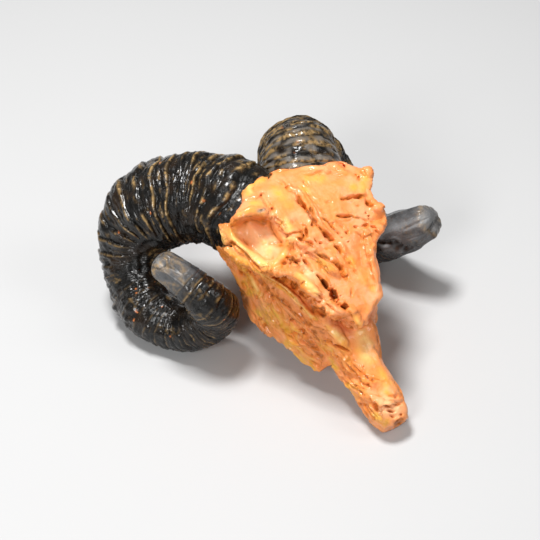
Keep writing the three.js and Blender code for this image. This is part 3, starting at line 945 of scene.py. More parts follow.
# picture x and y, radius in picture points, depth in mm, then squash and turn where it isn't round
PITS = [
    (334.5, 296, 6.8, 5.5, 0.58, 45), (323.5, 282.5, 5.6, 2.8, 0.32, 50),
    (344.5, 307.5, 3.4, 3.4, 0.5, 35),
    (291, 260.5, 3.2, 1.8, 0.6, 20), (298, 262, 3.4, 1.3, 0.5, -30), (303, 236, 2.2, 1.6, 0.6, 70),
    (364.5, 225.5, 3.2, 1.4, 0.6, 0), (356, 175.5, 1.2, 0.9), (358.5, 178.5, 1.9, 1.3),
    (366, 213, 1.2, 0.9), (369, 216, 1.3, 1.0), (368.5, 219, 1.0, 0.8), (359.5, 195.5, 2.2, 1.2, 0.7, -10),
    (295.5, 285.5, 2.6, 1.8), (292, 283, 1.8, 1.2), (301.5, 292, 2.4, 1.8), (307, 297, 1.8, 1.3),
    (310, 302, 1.6, 1.4, 0.6, 60), (304, 283, 1.5, 0.8), (274, 286, 1.3, 0.7), (257, 297, 1.8, 1.4),
    (266, 325, 2.0, 1.5), (261, 318, 1.6, 1.0), (266.5, 291, 1.0, 0.7), (272, 296, 1.1, 0.8),
    (268, 304.5, 1.1, 0.7), (283, 300, 1.2, 0.8), (301, 309, 1.3, 1.2), (292, 319, 1.6, 1.0),
    (304, 334, 1.5, 0.9), (309, 342, 1.6, 0.9), (281, 345, 1.2, 0.5), (243, 283, 1.5, 0.6),
    (261, 235.5, 1.0, 0.5), (268.5, 264, 0.9, 0.6), (271.5, 209, 1.8, 1.2), (287, 186.5, 1.6, 0.9),
    (261, 196, 1.5, 0.8), (256, 198.5, 1.2, 0.6), (262, 210, 1.6, 0.5), (232.5, 243.5, 2.4, 2.6),
    (252, 271, 1.1, 0.8), (348, 231, 1.2, 0.7), (341, 238, 1.0, 0.6), (348, 243, 1.0, 0.6),
    (333, 224, 1.0, 0.6), (347, 276, 1.0, 0.8), (357, 325.5, 1.2, 1.2), (363, 367, 1.0, 0.7),
    (369, 384.5, 1.6, 1.2), (401, 414.5, 1.6, 1.2), (391, 411.5, 1.8, 1.3), (398, 421.5, 2.0, 1.8, 0.6, -20),
    (376, 405.5, 1.6, 1.4), (317, 355, 1.3, 0.9), (262, 245, 0.9, 0.3),
]
# where the clay was left rough: line, width in picture points
ROUGH = [
    ([(292, 190), (304, 206), (316, 226), (334, 246), (350, 266)], 8),
    ([(340, 212), (360, 214), (374, 230)], 9), ([(290, 260), (300, 264)], 6), ([(322, 300), (345, 310)], 6),
    ([(374, 400), (396, 414)], 12),
]
FIBRE_PITCH = 2.5  # mm between the long strips of the cheeks
FIBRES_ON_TOP, FIBRES_ON_WALLS = 0.04, 0.62  # mm, how high they are
CALM_BOWL = 0.85  # the share of all this that the bowl of the eye goes without
STRONGER, THINNEST = 1.6, 1.25  # the folds are this much stronger, and no cut is thinner than this


def fibres(mm, normals):
    """Long irregular strips along the head, as a height from -1 to 1 for every point."""
    local = transformed(mm * MM, TO_SKULL)
    side, along, height = local.T
    wall = smooth_step(0.35, 0.8, np.abs(normals[:, 0]))
    across_wall = height - 0.2 * (along - 50) - 16 * np.exp(-(along - 27).clip(0) / 7)
    across_top = side + 0.16 * (along - 20)
    phase = (across_wall * wall + across_top * (1 - wall)) / FIBRE_PITCH
    stretched = local / (1, 10, 1)
    part = (phase + 0.40 * ripple(stretched, 5, 21) + 0.12 * ripple(stretched, 2.4, 22)) % 1
    strip = smooth_step(0, 0.75, part) - smooth_step(0.86, 1.0, part)
    fine = ripple(local / (1, 6, 1), 2.2, 23)
    return (strip - 0.45) * (0.6 + 0.4 * ripple(mm, 7, 24)) + 0.15 * fine, wall


look = Look(skull)
for line, width, height, under in FOLDS:
    look.fold(line, width, height * STRONGER, under * STRONGER)
for line, width, depth in CUTS:
    look.cut(line, max(width, THINNEST), depth)
for pit in PITS:
    look.pit(*pit)
strip, wall = fibres(look.mm, look.normals)
upper, lower = HOLLOWS["socket_bowl"][:2]
calm = 1 - CALM_BOWL * (within(look.x, look.y, upper + lower[::-1]) & (look.weight > 0))
look.push += calm * (FIBRES_ON_TOP + FIBRES_ON_WALLS * wall) * strip
rough = 0.12 + 0.35 * smooth_step(0.2, 1.2, ripple(look.mm, 11, 35)) + 0.12 * wall
for line, width in ROUGH:
    which, far = look.near(line, width * 2)[:2]
    rough[which] += 0.5 * bump(far, width) * look.weight[which]
along_head = transformed(look.mm * MM, TO_SKULL) * (1, 0.4, 1)
look.push += calm * rough * (0.30 * creases(along_head, 3.4, 31) + 0.16 * creases(along_head, 1.7, 32))
look.push += calm * (0.05 * ripple(look.mm, 2.6, 34) + 0.16 * ripple(look.mm, 9, 33))
look.apply(skull)
print(len(FOLDS), "folds,", len(CUTS), "cuts and", len(PITS), "pits")

# %% [markdown]
# The tooth row is broken off, and its edge is ragged: it steps forwards in short scallops. The points
# near the edge are lifted or lowered, but never below the floor. The finished sculpt is then thinned to
# a number of triangles that is easy to handle.

# %% Tooth edge
# along, how much higher the edge is here, in mm
TOOTH_EDGE = [
    (18, 0.6), (24, 0.0), (28.5, 0.5), (32, -0.5), (36, 0.3), (41, -0.7), (43, -0.9), (45, 0.6), (47, 0.2),
    (49, 0.4), (51, -0.4), (53, 0.3), (56, 0.0), (57.5, 0.8), (60, -0.5), (62, -2.2), (64, -1.4),
    (66, 1.0), (69, 0.0),
]
TOOTH_FADE = 2.5  # mm, how soon the shift fades above the edge
TOOTH_STAGGER = 0.4  # mm, by which the scallops of the two sides are apart
MOST_TRIANGLES = 197000
points = points_of(skull)
local = transformed(points, TO_SKULL)
side, along, height = local.T
closeness = np.exp(-np.clip(height - between(CHEEK, along, 3), 0, None) / TOOTH_FADE)
closeness = closeness * (along > CHEEK[0][0]) * (along < 70)
shift = np.interp(along + TOOTH_STAGGER * np.sign(side), *np.array(TOOTH_EDGE).T)
local[:, 2] += (shift + 0.25 * ripple(points / MM, 2.0, 41)) * closeness
move_points(skull, above_floor(transformed(local, TO_WORLD)))


def triangles_of(piece):
    return sum(len(face.vertices) - 2 for face in piece.data.polygons)


apply_modifier(skull, "DECIMATE", ratio=min(1, MOST_TRIANGLES / triangles_of(skull)))
lowest = points_of(skull)[:, 2].min() / MM
print("skull:", triangles_of(skull), "triangles, lowest at", round(lowest, 2), "mm")

# %% [markdown]
# A horn is a thick rod that tapers and curls. A sphere is a good start, because it is closed at both
# ends: its rings are laid out along the horn's middle line, and its two poles become the ends. The
# growth rings, the lumps and the smooth tip are then pushed in and out point by point.

# %% Horn lines
# x, y, z from the poll and the radius, from the root inside the skull to the tip
HORN_RIGHT = [
    (-7.2, -13.7, -10.8, 12.5),
    (-14.0, -3.7, -4.9, 16.4),
    (-21.2, 10.1, -6.7, 16.2),
    (-34.8, 21.2, -13.4, 16.3),
    (-42.8, 23.9, -24.3, 14.0),
    (-46.9, 17.2, -37.1, 11.9),
    (-49.0, 3.0, -43.4, 10.1),
    (-41.8, -11.2, -44.2, 8.8),
    (-34.1, -20.1, -33.9, 8.3),
    (-38.5, -21.0, -23.1, 7.6),
    (-49.2, -6.0, -11.4, 5.0),
]
HORN_LEFT = [
    (9.0, -10.8, -13.7, 12.5),
    (14.0, 0.9, 0.2, 15.0),
    (20.5, 14.1, -6.4, 14.4),
    (28.9, 20.6, -16.8, 14.5),
    (36.3, 20.1, -29.7, 13.0),
    (39.9, 11.3, -40.8, 11.6),
    (42.0, -0.9, -43.4, 10.3),
    (44.8, -11.4, -37.7, 8.7),
    (47.8, -20.6, -28.9, 8.0),
    (53.6, -29.1, -19.1, 6.0),
]
print("horn lines of", len(HORN_RIGHT), "and", len(HORN_LEFT), "points")

# %% [markdown]
# Each ring is a sheet of horn that overlaps the next: it rises steeply and sinks slowly, often with a
# weaker groove across it. The rings are strong on the outside of the curl and fade towards its inside,
# where the surface is lumpy and wrinkled instead. They crowd towards the tip, and on the left horn at the
# root too. They are worn at the bottom of the right coil, and the last stretch of each horn is smooth.
# Where paint caught on the crests is worked out here as well, and the pale grey on the left horn's rings,
# part grey paint and part painted sheen; all is stored on the points for the finish.

# %% Horns
AROUND, ALONG = 128, 740
TIGHTEST = 0.9  # the inside of a bend stays this share of the way to the bend's centre
BEND_WINDOW = 75  # steps along the horn over which the direction of the bend is evened out
NEARLY_STRAIGHT = 0.006  # turns per mm: where a horn bends less than this, it has no inside or outside
RING_PITCH, TIP_PITCH = 4.4, 3.2  # mm from ring to ring, from the middle of a horn to its tip
RING_DEPTH = 1.35
FULL_RADIUS = 13  # mm, the radius of a horn whose relief is full
FULL_PITCH = 3.4  # mm, rings closer than this are shallower
WORN_COIL, WORN_AT, WORN_REACH = 0.75, 0.56, 0.15  # how much is worn away, and where along the horn
FIRM_FROM = (0.74, 0.80)  # past this share of the length the rings go all the way round
GREY_SHEEN_FADE = (0.22, 0.38)  # and past this one the left horn has no pale grey, part paint and part painted sheen, on its rings
SOCKET_CLEARANCE = 13.0  # the right horn makes room for the eye socket


def paint(piece, name, values):
    """Stores one number from 0 to 1 for each point, for a material to read."""
    attributes = piece.data.attributes
    attribute = attributes.get(name) or attributes.new(name, "FLOAT", "POINT")
    attribute.data.foreach_set("value", np.clip(values, 0, 1).astype(np.float32))


def painted(piece, name):
    """Reads such numbers back."""
    values = np.empty(len(piece.data.vertices), dtype=np.float32)
    piece.data.attributes[name].data.foreach_get("value", values)
    return values


def horn(name, rows, smooth_from, blunt, root_pitch, crowded, frosted, seed):
    """A horn whose rings start root_pitch apart and reach their full size past `crowded` mm; it is smooth
    from smooth_from mm, rounds off over the last `blunt` mm, and its rings carry a pale grey, part grey paint
    and part painted sheen, by the given share."""
    piece, line, run, pick, angle = laid_along(name, rows, AROUND, ALONG)
    middle, radius = line[:, :3], line[:, 3]
    ahead = unit(np.gradient(middle, axis=0))
    bend = np.gradient(ahead, run, axis=0)
    away = blurred(-bend, BEND_WINDOW)
    away = away / (np.linalg.norm(away, axis=1) + NEARLY_STRAIGHT)[:, None]
    outer = np.zeros_like(ahead)
    outer[0] = away[0]
    for i in range(1, len(outer)):
        outer[i] = outer[i - 1]
        outer[i] -= (outer[i] @ ahead[i]) * ahead[i]
        outer[i] /= np.linalg.norm(outer[i])
    side = np.cross(ahead, outer)
    s, length = run[pick], run[-1]
    spoke = spokes(angle, outer[pick], side[pick])
    base = middle[pick] + spoke * radius[pick][:, None]
    facing = (away[pick] * spoke).sum(1)
    size = np.clip(radius[pick] / FULL_RADIUS, 0.5, 1)

    def uneven(scale, number):
        return ripple(base, scale, seed + number)

    def spots(low, high, scale, number):
        return smooth_step(low, high, uneven(scale, number))

    # the rings, as a count along the horn that wavers from place to place
    pitch = root_pitch + (RING_PITCH - root_pitch) * smooth_step(crowded, crowded * 1.6, run)
    pitch = pitch + (TIP_PITCH - RING_PITCH) * smooth_step(0.5, 0.8, run / length)
    count = np.concatenate([[0], np.cumsum(np.diff(run) / pitch[1:])])
    phase = count[pick] + 0.09 * uneven(22, 0) + 0.025 * uneven(7, 1)
    part = phase % 1
    around_ring = np.stack([np.floor(phase) * 7.3, np.cos(angle) * 3, np.sin(angle) * 3], axis=1)
    worn = 0.5 + 0.5 * np.clip(ripple(around_ring, 4, seed + 2), -1, 1)
    sheet = smooth_step(0.0, 0.22, part) * (1.15 - 0.55 * part) * smooth_step(1.0, 0.93, part)
    rings = (0.7 + 0.5 * worn) * sheet - 0.30 * (bump(part - 0.60, 0.05) * spots(-0.3, 0.6, 9, 3))
    strength = smooth_step(-0.85, 0.0, facing + 0.3 * uneven(16, 4))
    smooth = smooth_step(smooth_from - 5, smooth_from + 4, s + 2 * facing)
    if name == "horn_right":
        strength = strength * (1 - WORN_COIL * bump(s / length - WORN_AT, WORN_REACH))
    strength = np.maximum(strength, 0.9 * smooth_step(*FIRM_FROM, s / length))
    rings = RING_DEPTH * size * strength * (1 - smooth) * (rings - 0.5)
    rings = rings * np.clip(pitch[pick] / FULL_PITCH, 0.5, 1)

    # lumps and wrinkles on the inside of the curl, a few dents, lengthwise grooves on the smooth tip
    lumps = (0.08 + 0.16 * (1 - strength)) * uneven(4.4, 5) + 0.05 * uneven(1.7, 6) + 0.35 * uneven(13, 7)
    stretch = np.clip(1 - radius[pick] * (bend[pick] * spoke).sum(1), 0, 1)
    wrinkles = np.sin(2 * np.pi * count[pick] * 3 + 1.2 * uneven(7, 16))
    lumps = lumps + 0.12 * (1 - strength) * stretch * wrinkles
    hollows = 0.5 * np.clip(uneven(4.5, 8) - 0.9, 0, 1) * (1 - smooth)
    lengthwise = 0.30 * np.sin(angle * 5 + 1.2 * uneven(14, 9)) + 0.16 * np.sin(angle * 13 + s / 6)
    lengthwise = lengthwise - 0.9 * bump(np.sin(angle / 2 - 0.6), 0.25) * smooth_step(0, 6, length - s)
    push = rings + (1 - 0.8 * smooth) * (lumps - hollows) * size + smooth * lengthwise

    tight = TIGHTEST / np.maximum((bend[pick] * spoke).sum(1), 0.01)
    reach = np.minimum(radius[pick] + push, tight)
    rim = np.minimum(s / 4.0, (length - s) / blunt)
    reach = reach * np.sqrt(np.clip(1 - np.clip(1 - rim, 0, 1) ** 2.5, 0, 1))
    move_points(piece, above_floor(middle[pick] + spoke * reach[:, None] + np.array(POLL)) * MM)
    face_outwards(piece)
    bpy.ops.object.shade_smooth()

    # where the paints caught: on the crests, in patches, along the edge of the tip
    crest = bump(part - 0.22, 0.32 / pitch[pick]) * strength * spots(-1.1, 0.5, 6, 10)
    crest = np.maximum(crest, 0.5 * bump(part - 0.70, 0.05) * strength * spots(0.2, 1.2, 5, 11))
    patch = spots(1.3, 2.1, 9, 12) * spots(-0.2, 0.8, 2.4, 13)
    thinner = 1.25 - 0.7 * frosted - (0.6 - 0.5 * frosted) * smooth_step(0.24, 0.42, s / length)
    on_tip = 0.3 * bump(length - s - 2.2, 1.2) + (0.30 - 0.35 * frosted) * smooth * spots(0.4, 1.4, 5, 15)
    paint(piece, "ochre", np.maximum(crest * (1 - smooth), 0.5 * patch) * thinner + on_tip)
    paint(piece, "speck", spots(2.7, 3.0, 2.6, 14) * (1 - smooth))
    paint(piece, "smooth", smooth)
    # a pale grey on the ring bodies of the left horn: part grey paint, part painted sheen
    frost = frosted * smooth_step(0.15, 0.45, part) * spots(-1.0, 1.0, 5, 17)
    paint(piece, "frost", frost * (1 - smooth_step(*GREY_SHEEN_FADE, s / length)))
    print(name, "is", round(length), "mm long,", len(pick), "points")
    return piece


horn_right = horn(
    "horn_right", HORN_RIGHT, smooth_from=148.0, blunt=4.5, root_pitch=4.6, crowded=38.0, frosted=0.0, seed=10
)
horn_left = horn(
    "horn_left", HORN_LEFT, smooth_from=112.0, blunt=3.5, root_pitch=1.1, crowded=50.0, frosted=0.7, seed=40
)

# the right horn passes under the right eye socket, so it is pressed back there
points = points_of(horn_right) / MM
centre = np.array(TO_WORLD @ Vector(SOCKETS[0][0])) / MM
away = points - centre
distance = np.linalg.norm(away, axis=1)
pressed = distance < SOCKET_CLEARANCE
points[pressed] = centre + away[pressed] / distance[pressed, None] * SOCKET_CLEARANCE
move_points(horn_right, above_floor(points) * MM)
print("pressed back", pressed.sum(), "points of the right horn")

# %% [markdown]
# The tips have marks of their own, placed in the picture. The left one has a hollow near its end, a groove
# low on its side and a few strokes, with silver between them that paints the sheen of the varnish. The right
# one ends in a small flat facet with a line around it and a spot of the same silver in it, and ochre was
# rubbed along its edges.

# %% Marks on the tips
# line, width in picture points, height in mm
LEFT_TIP_FORMS = [([(430, 233), (439, 219)], 3.4, -1.6), ([(384, 249), (400, 252)], 3.0, 0.6)]
RIGHT_TIP_FORMS = [([(157, 260), (161, 264)], 5.5, -0.5)]
# line, width in picture points, depth in mm
LEFT_TIP_CUTS = [
    ([(378, 243), (394, 243.5), (404, 248), (416, 248)], 1.9, 1.4),
    ([(404, 223), (414, 217), (425, 210)], 1.1, 0.45),
    ([(402, 231), (414, 225), (427, 218)], 1.1, 0.45),
    ([(404, 239), (416, 236), (428, 231)], 1.1, 0.45),
]
FACET = [(151, 262), (155, 256), (161, 254), (167, 259), (166, 266), (160, 270), (153, 268), (151, 262)]
RIGHT_TIP_CUTS = [(FACET, 1.2, 0.5)]
# line, width in picture points
# painted sheen: silver on the left tip between the strokes, and a spot of it in the right tip's facet
LEFT_TIP_SHEEN = [
    ([(396, 229), (409, 226), (424, 219)], 8.0), ([(402, 238), (415, 236)], 5.0),
    ([(386, 247), (400, 251)], 2.5),
]
RIGHT_TIP_SHEEN = [([(158, 261), (160, 263)], 4.0)]
RIGHT_TIP_OCHRE = [
    ([(149, 254), (156, 250), (165, 251), (171, 257), (172, 264)], 1.8),
    ([(175, 259), (180, 266), (184, 272)], 3.0), ([(156, 281), (163, 284), (170, 283), (177, 286)], 1.8),
    ([(172, 268), (178, 276), (184, 284)], 2.2),
]
FACET_OCHRE, EDGE_OCHRE = 0.6, 0.38  # how thick the ochre is


def marked(piece, forms, cuts):
    """Presses marks into a piece, and gives what the camera saw of it before."""
    look = Look(piece)
    for form in forms:
        look.soft(*form)
    for groove in cuts:
        look.cut(*groove)
    look.apply(piece)
    return look


look = marked(horn_left, LEFT_TIP_FORMS, LEFT_TIP_CUTS)
paint(horn_left, "silver_sheen", look.brushed(LEFT_TIP_SHEEN))
look = marked(horn_right, RIGHT_TIP_FORMS, RIGHT_TIP_CUTS)
paint(horn_right, "silver_sheen", look.brushed(RIGHT_TIP_SHEEN))
facet_lines = [(line, width) for line, width, _ in RIGHT_TIP_CUTS]
rubbed = np.maximum(FACET_OCHRE * look.brushed(facet_lines), EDGE_OCHRE * look.brushed(RIGHT_TIP_OCHRE))
paint(horn_right, "ochre", np.maximum(painted(horn_right, "ochre"), rubbed))
print(len(LEFT_TIP_CUTS), "grooves on the left tip and", len(RIGHT_TIP_CUTS), "on the right one")

# %% [markdown]
# The paint on the skull was dabbed on in thin coats: orange all over, yellow and cream on what stands
# out, ochre along the ledges, brown wash on the cheeks, a rosy tone in the bowl of the eye. Painted
# shade goes into the brown: it darkens the cracks, pits and broad hollows, the edges of the folds, the
# upper wall of the eye bowl and the undersides of the ledges. Painted light lifts the floor of the eye
# bowl, with the rosy tone, and the muzzle cup in the plate's shadow, with cream. Masks for these are
# worked out from the sculpt itself, by comparing it with a smoothed copy, and from lines brushed in the
# picture. One list marks where the brown is left off: painted light as well, most of all on the muzzle
# base, which lies in the plate's shadow.

# %% Where each paint, and the painted light and shade, goes
# line, width in picture points
YELLOW = [
    ([(231, 230), (234, 240), (246, 253), (257, 262), (268, 267), (278, 263), (285, 254), (289, 244)], 4.5),
    ([(277, 190), (283, 196), (289, 204)], 5.5), ([(263, 179), (252, 183), (247, 193)], 3.0),
    ([(306, 179), (322, 178)], 4.5), ([(303, 189), (307, 192)], 3.5), ([(366, 180), (361, 189)], 5.5),
    ([(298, 276), (305, 285), (314, 291)], 4.5), ([(320, 260), (328, 269)], 5.0),
    ([(283, 222), (288, 227)], 4.5), ([(350, 259), (361, 274), (372, 288)], 3.8),
    ([(329, 327), (339, 337), (346, 348)], 5.0), ([(358, 350), (364, 357), (373, 361)], 4.0),
    ([(353, 314), (358, 324)], 2.8), ([(346, 358), (350, 363)], 3.0), ([(379, 379), (386, 386)], 4.5),
    ([(384, 391), (390, 394)], 3.0), ([(240, 214), (250, 210), (262, 213)], 3.0),
    ([(352, 187), (362, 190)], 4.5), ([(262, 203), (252, 203)], 4.0), ([(380, 370), (389, 383)], 4.0),
]
OCHRE = [
    ([(222, 247), (233, 255), (242, 260.5), (253, 268), (263, 275.5), (275, 283), (286, 290), (297, 302)],
     2.2),
    ([(297, 302), (306, 312), (316, 320)], 1.6), ([(234, 259), (246, 271), (254, 283), (259, 296)], 3.2),
    ([(266, 309), (280, 322), (294, 334)], 6.5), ([(288, 343), (299, 354), (308, 362)], 5.0),
    ([(244, 280), (250, 292)], 5.0), ([(322, 344), (329, 350)], 3.5), ([(349, 386), (358, 394)], 3.5),
    ([(217, 231), (222, 243)], 5.0), ([(258, 311), (268, 322)], 4.0), ([(375, 415), (385, 422)], 4.0),
    ([(330, 358), (336, 368)], 3.0), ([(303, 360), (312, 368)], 4.0),
]
# painted shade and brown wash: shade under the plate's lip, on the upper wall of the eye bowl, under its
# small overhang, under the end of the plate and in a few crevices; bands of wash on the cheek
WASH_AND_SHADE_LINES = [
    ([(268, 276), (286, 280), (300, 290), (310, 303), (320, 312)], 5.0),
    ([(234, 222), (243, 219), (256, 217), (266, 219), (274, 226), (280, 236)], 3.0),
    ([(226, 252), (242, 265), (256, 276), (270, 289)], 3.0),
    ([(274, 295), (290, 306), (305, 320), (322, 336)], 6.0), ([(300, 330), (312, 344), (322, 358)], 3.0),
    ([(338, 262), (346, 278)], 2.5), ([(269, 244), (280, 246)], 2.0), ([(281, 265), (290, 267)], 5.0),
    ([(342, 318), (352, 325)], 3.0), ([(347, 362), (356, 373)], 3.5), ([(218, 223), (229, 225)], 2.5),
    ([(292, 258), (300, 263)], 5.0), ([(302, 232), (307, 238)], 4.0),
    ([(235, 223), (243, 219.5), (252, 218.5), (262, 219), (269, 222), (275, 229), (279, 237)], 4.2),
    ([(236, 224), (246, 221), (257, 220)], 4.2),
]
# painted light with a rosy tone: it lifts the floor of the eye bowl, which lies in shade under the rim, and a
# few other places; the brown is thinned there too
ROSE_AND_LIGHT_LINES = [
    ([(246, 233), (258, 238), (268, 252)], 9.5), ([(262, 230), (270, 238)], 6.0),
    ([(385, 404), (396, 410)], 7.0), ([(300, 262), (312, 275)], 6.0),
]
# cream paint on the rims and edges; the broad line on the muzzle cup is painted light, where the plate's
# shadow falls
CREAM_AND_LIGHT_LINES = [
    ([(234.5, 236), (241, 246.5), (250, 254.5), (259, 261), (267, 266)], 3.6),
    ([(277, 263.5), (282, 257)], 2.5), ([(219, 232), (223, 240)], 4.0),
    ([(262, 274), (270.5, 279.5), (279, 282), (286, 288.5), (293, 294)], 1.5),
    ([(294, 299), (304, 310.5), (311, 317)], 1.3), ([(285, 223), (290, 229)], 2.8),
    ([(284, 238), (297, 238)], 1.3), ([(247, 186), (251, 191)], 2.5),
    ([(300, 276), (309, 285), (318, 293)], 2.6), ([(334, 331), (341, 339)], 3.0),
    ([(356, 318), (359, 323)], 1.6), ([(251, 277), (258, 290)], 1.6),
    ([(360, 333), (366, 345), (367, 356)], 6.5), ([(263, 243), (269, 251)], 4.0),
]
# painted light: the brown is left off here, most of all on the muzzle base, which lies in the plate's shadow
PAINTED_LIGHT_SPOTS = [([(368, 334), (371, 348)], 8.0), ([(340, 296), (362, 310)], 4.0)]
GREY = [([(258.5, 211), (263.5, 209.5)], 2.0)]


def relaxed(piece, points, rounds):
    """The points after a few rounds of averaging with their neighbours."""
    pairs = np.empty(len(piece.data.edges) * 2, dtype=np.int32)
    piece.data.edges.foreach_get("vertices", pairs)
    first, second = pairs.reshape(-1, 2).T
    count = np.bincount(np.concatenate([first, second]), minlength=len(points))[:, None]
    size = len(points)
    for _ in range(rounds):
        total = np.stack([
            np.bincount(first, column[second], size) + np.bincount(second, column[first], size)
            for column in points.T
        ], axis=1)
        points = 0.5 * points + 0.5 * total / count
    return points


NARROW, BROAD = 6, 45  # rounds of averaging that find the narrow cracks and the broad hollows
DEEP_CUT = 0.95  # mm, cuts deeper than this get brown wash and painted shade in them
look = Look(skull)
mm = look.mm
hollow_fine, hollow_wide = [
    ((relaxed(skull, mm, rounds) - mm) * look.normals).sum(1) for rounds in (NARROW, BROAD)
]
local = transformed(mm * MM, TO_SKULL)
hidden = 1 - look.weight
low = (1 - smooth_step(2.0, 12.0, local[:, 2])) * smooth_step(0.25, 0.6, np.abs(look.normals[:, 0]))
streak = ripple(local / (1, 9, 1), 5, 51)
cloud = ripple(mm, 9, 52)
raised = smooth_step(0.02, 0.30, -hollow_wide)
strip = fibres(mm, look.normals)[0]
yellow = 0.85 * look.brushed(YELLOW) + 0.15 * raised * (1 - low) * smooth_step(0.2, 1.4, cloud)
yellow = yellow + hidden * (1 - low) * smooth_step(0.3, 1.6, cloud)
ochre = look.brushed(OCHRE) + low * (0.5 * smooth_step(0.5, 1.5, streak) * hidden + 0.25 * raised)
ochre = ochre + low * 0.35 * smooth_step(0.15, 0.6, strip) * smooth_step(-0.5, 1.0, cloud)
# brown wash along the lines, and darker low on the walls, in streaks
wash_and_shade = 0.95 * look.brushed(WASH_AND_SHADE_LINES) + low * (0.08 + 0.50 * smooth_step(-0.6, 1.1, streak))
# painted shade in the troughs between the strips
wash_and_shade = wash_and_shade + low * 0.45 * smooth_step(0.0, -0.5, strip)
# painted shade, mixed with wash, in the narrow cracks and the broad hollows
wash_and_shade = wash_and_shade + 0.9 * smooth_step(0.04, 0.24, hollow_fine) + 0.4 * smooth_step(0.2, 0.9, hollow_wide)
# painted shade and wash in the deep cuts
deep_cuts = [(line, max(1.3, width)) for line, width, depth in CUTS if depth > DEEP_CUT]
wash_and_shade = wash_and_shade + 1.8 * look.brushed(deep_cuts)
# painted shade along the edges of the folds
wash_and_shade = wash_and_shade + 0.5 * look.brushed([(line, 1.3) for line, *_ in FOLDS])
# painted shade in the pits
for x, y, radius, depth, *_ in PITS:
    wash_and_shade += min(2.5, depth) * bump(np.hypot(look.x - x, look.y - y), radius * 0.8) * look.weight
# painted light: the brown is taken down where it is left off and on the rosy floor of the eye bowl
lightened = (1 - 0.7 * look.brushed(PAINTED_LIGHT_SPOTS)) * (1 - 0.6 * look.brushed(ROSE_AND_LIGHT_LINES))
wash_and_shade = wash_and_shade * lightened * (1 - 0.55 * np.clip(ochre, 0, 1))
paint(skull, "yellow", yellow * (0.8 + 0.25 * ripple(mm, 3.5, 53)))
paint(skull, "ochre", ochre * (0.8 + 0.25 * ripple(mm, 3.5, 54)))
# this mask holds the brown wash and the painted shade together
paint(skull, "wash_and_shade", 1.15 * (1 - np.exp(-1.1 * wash_and_shade.clip(0))) * (0.95 + 0.12 * ripple(mm, 3, 55)))
paint(skull, "cream_and_light", look.brushed(CREAM_AND_LIGHT_LINES) * (0.85 + 0.2 * ripple(mm, 3, 56)))
paint(skull, "rose_and_light", look.brushed(ROSE_AND_LIGHT_LINES))
paint(skull, "grey", look.brushed(GREY))
print("paint masks stored")

# %% [markdown]
# One material for the skull mixes the coats in the order they were brushed on, the painted light and
# shade among them. Noise in object space breaks them up, the varnish is a thin coat over everything, and a
# fine bump gives the surface its grain.

# %% Skull finish
ORANGE = (0.84, 0.26, 0.068, 1)
PALE_ORANGE = (0.92, 0.37, 0.165, 1)
YELLOW_PAINT = (0.89, 0.385, 0.062, 1)
OCHRE_PAINT = (0.74, 0.38, 0.05, 1)
# cream is also painted light on the muzzle cup
CREAM_AND_LIGHT_PAINT = (0.95, 0.62, 0.22, 1)
# the two browns are brown wash and painted shade together: in cracks, pits and hollows, under ledges and
# along folds
WASH_AND_SHADE_BROWN = (0.60, 0.170, 0.014, 1)
DEEP_WASH_AND_SHADE = (0.15, 0.040, 0.008, 1)
# the rosy tone is also painted light on the floor of the eye bowl
ROSE_AND_LIGHT_TONE = (0.98, 0.56, 0.28, 1)
BARE_GREY = (0.34, 0.26, 0.18, 1)
COAT = 0.4  # how much of the varnish shows, on the skull and on the horns


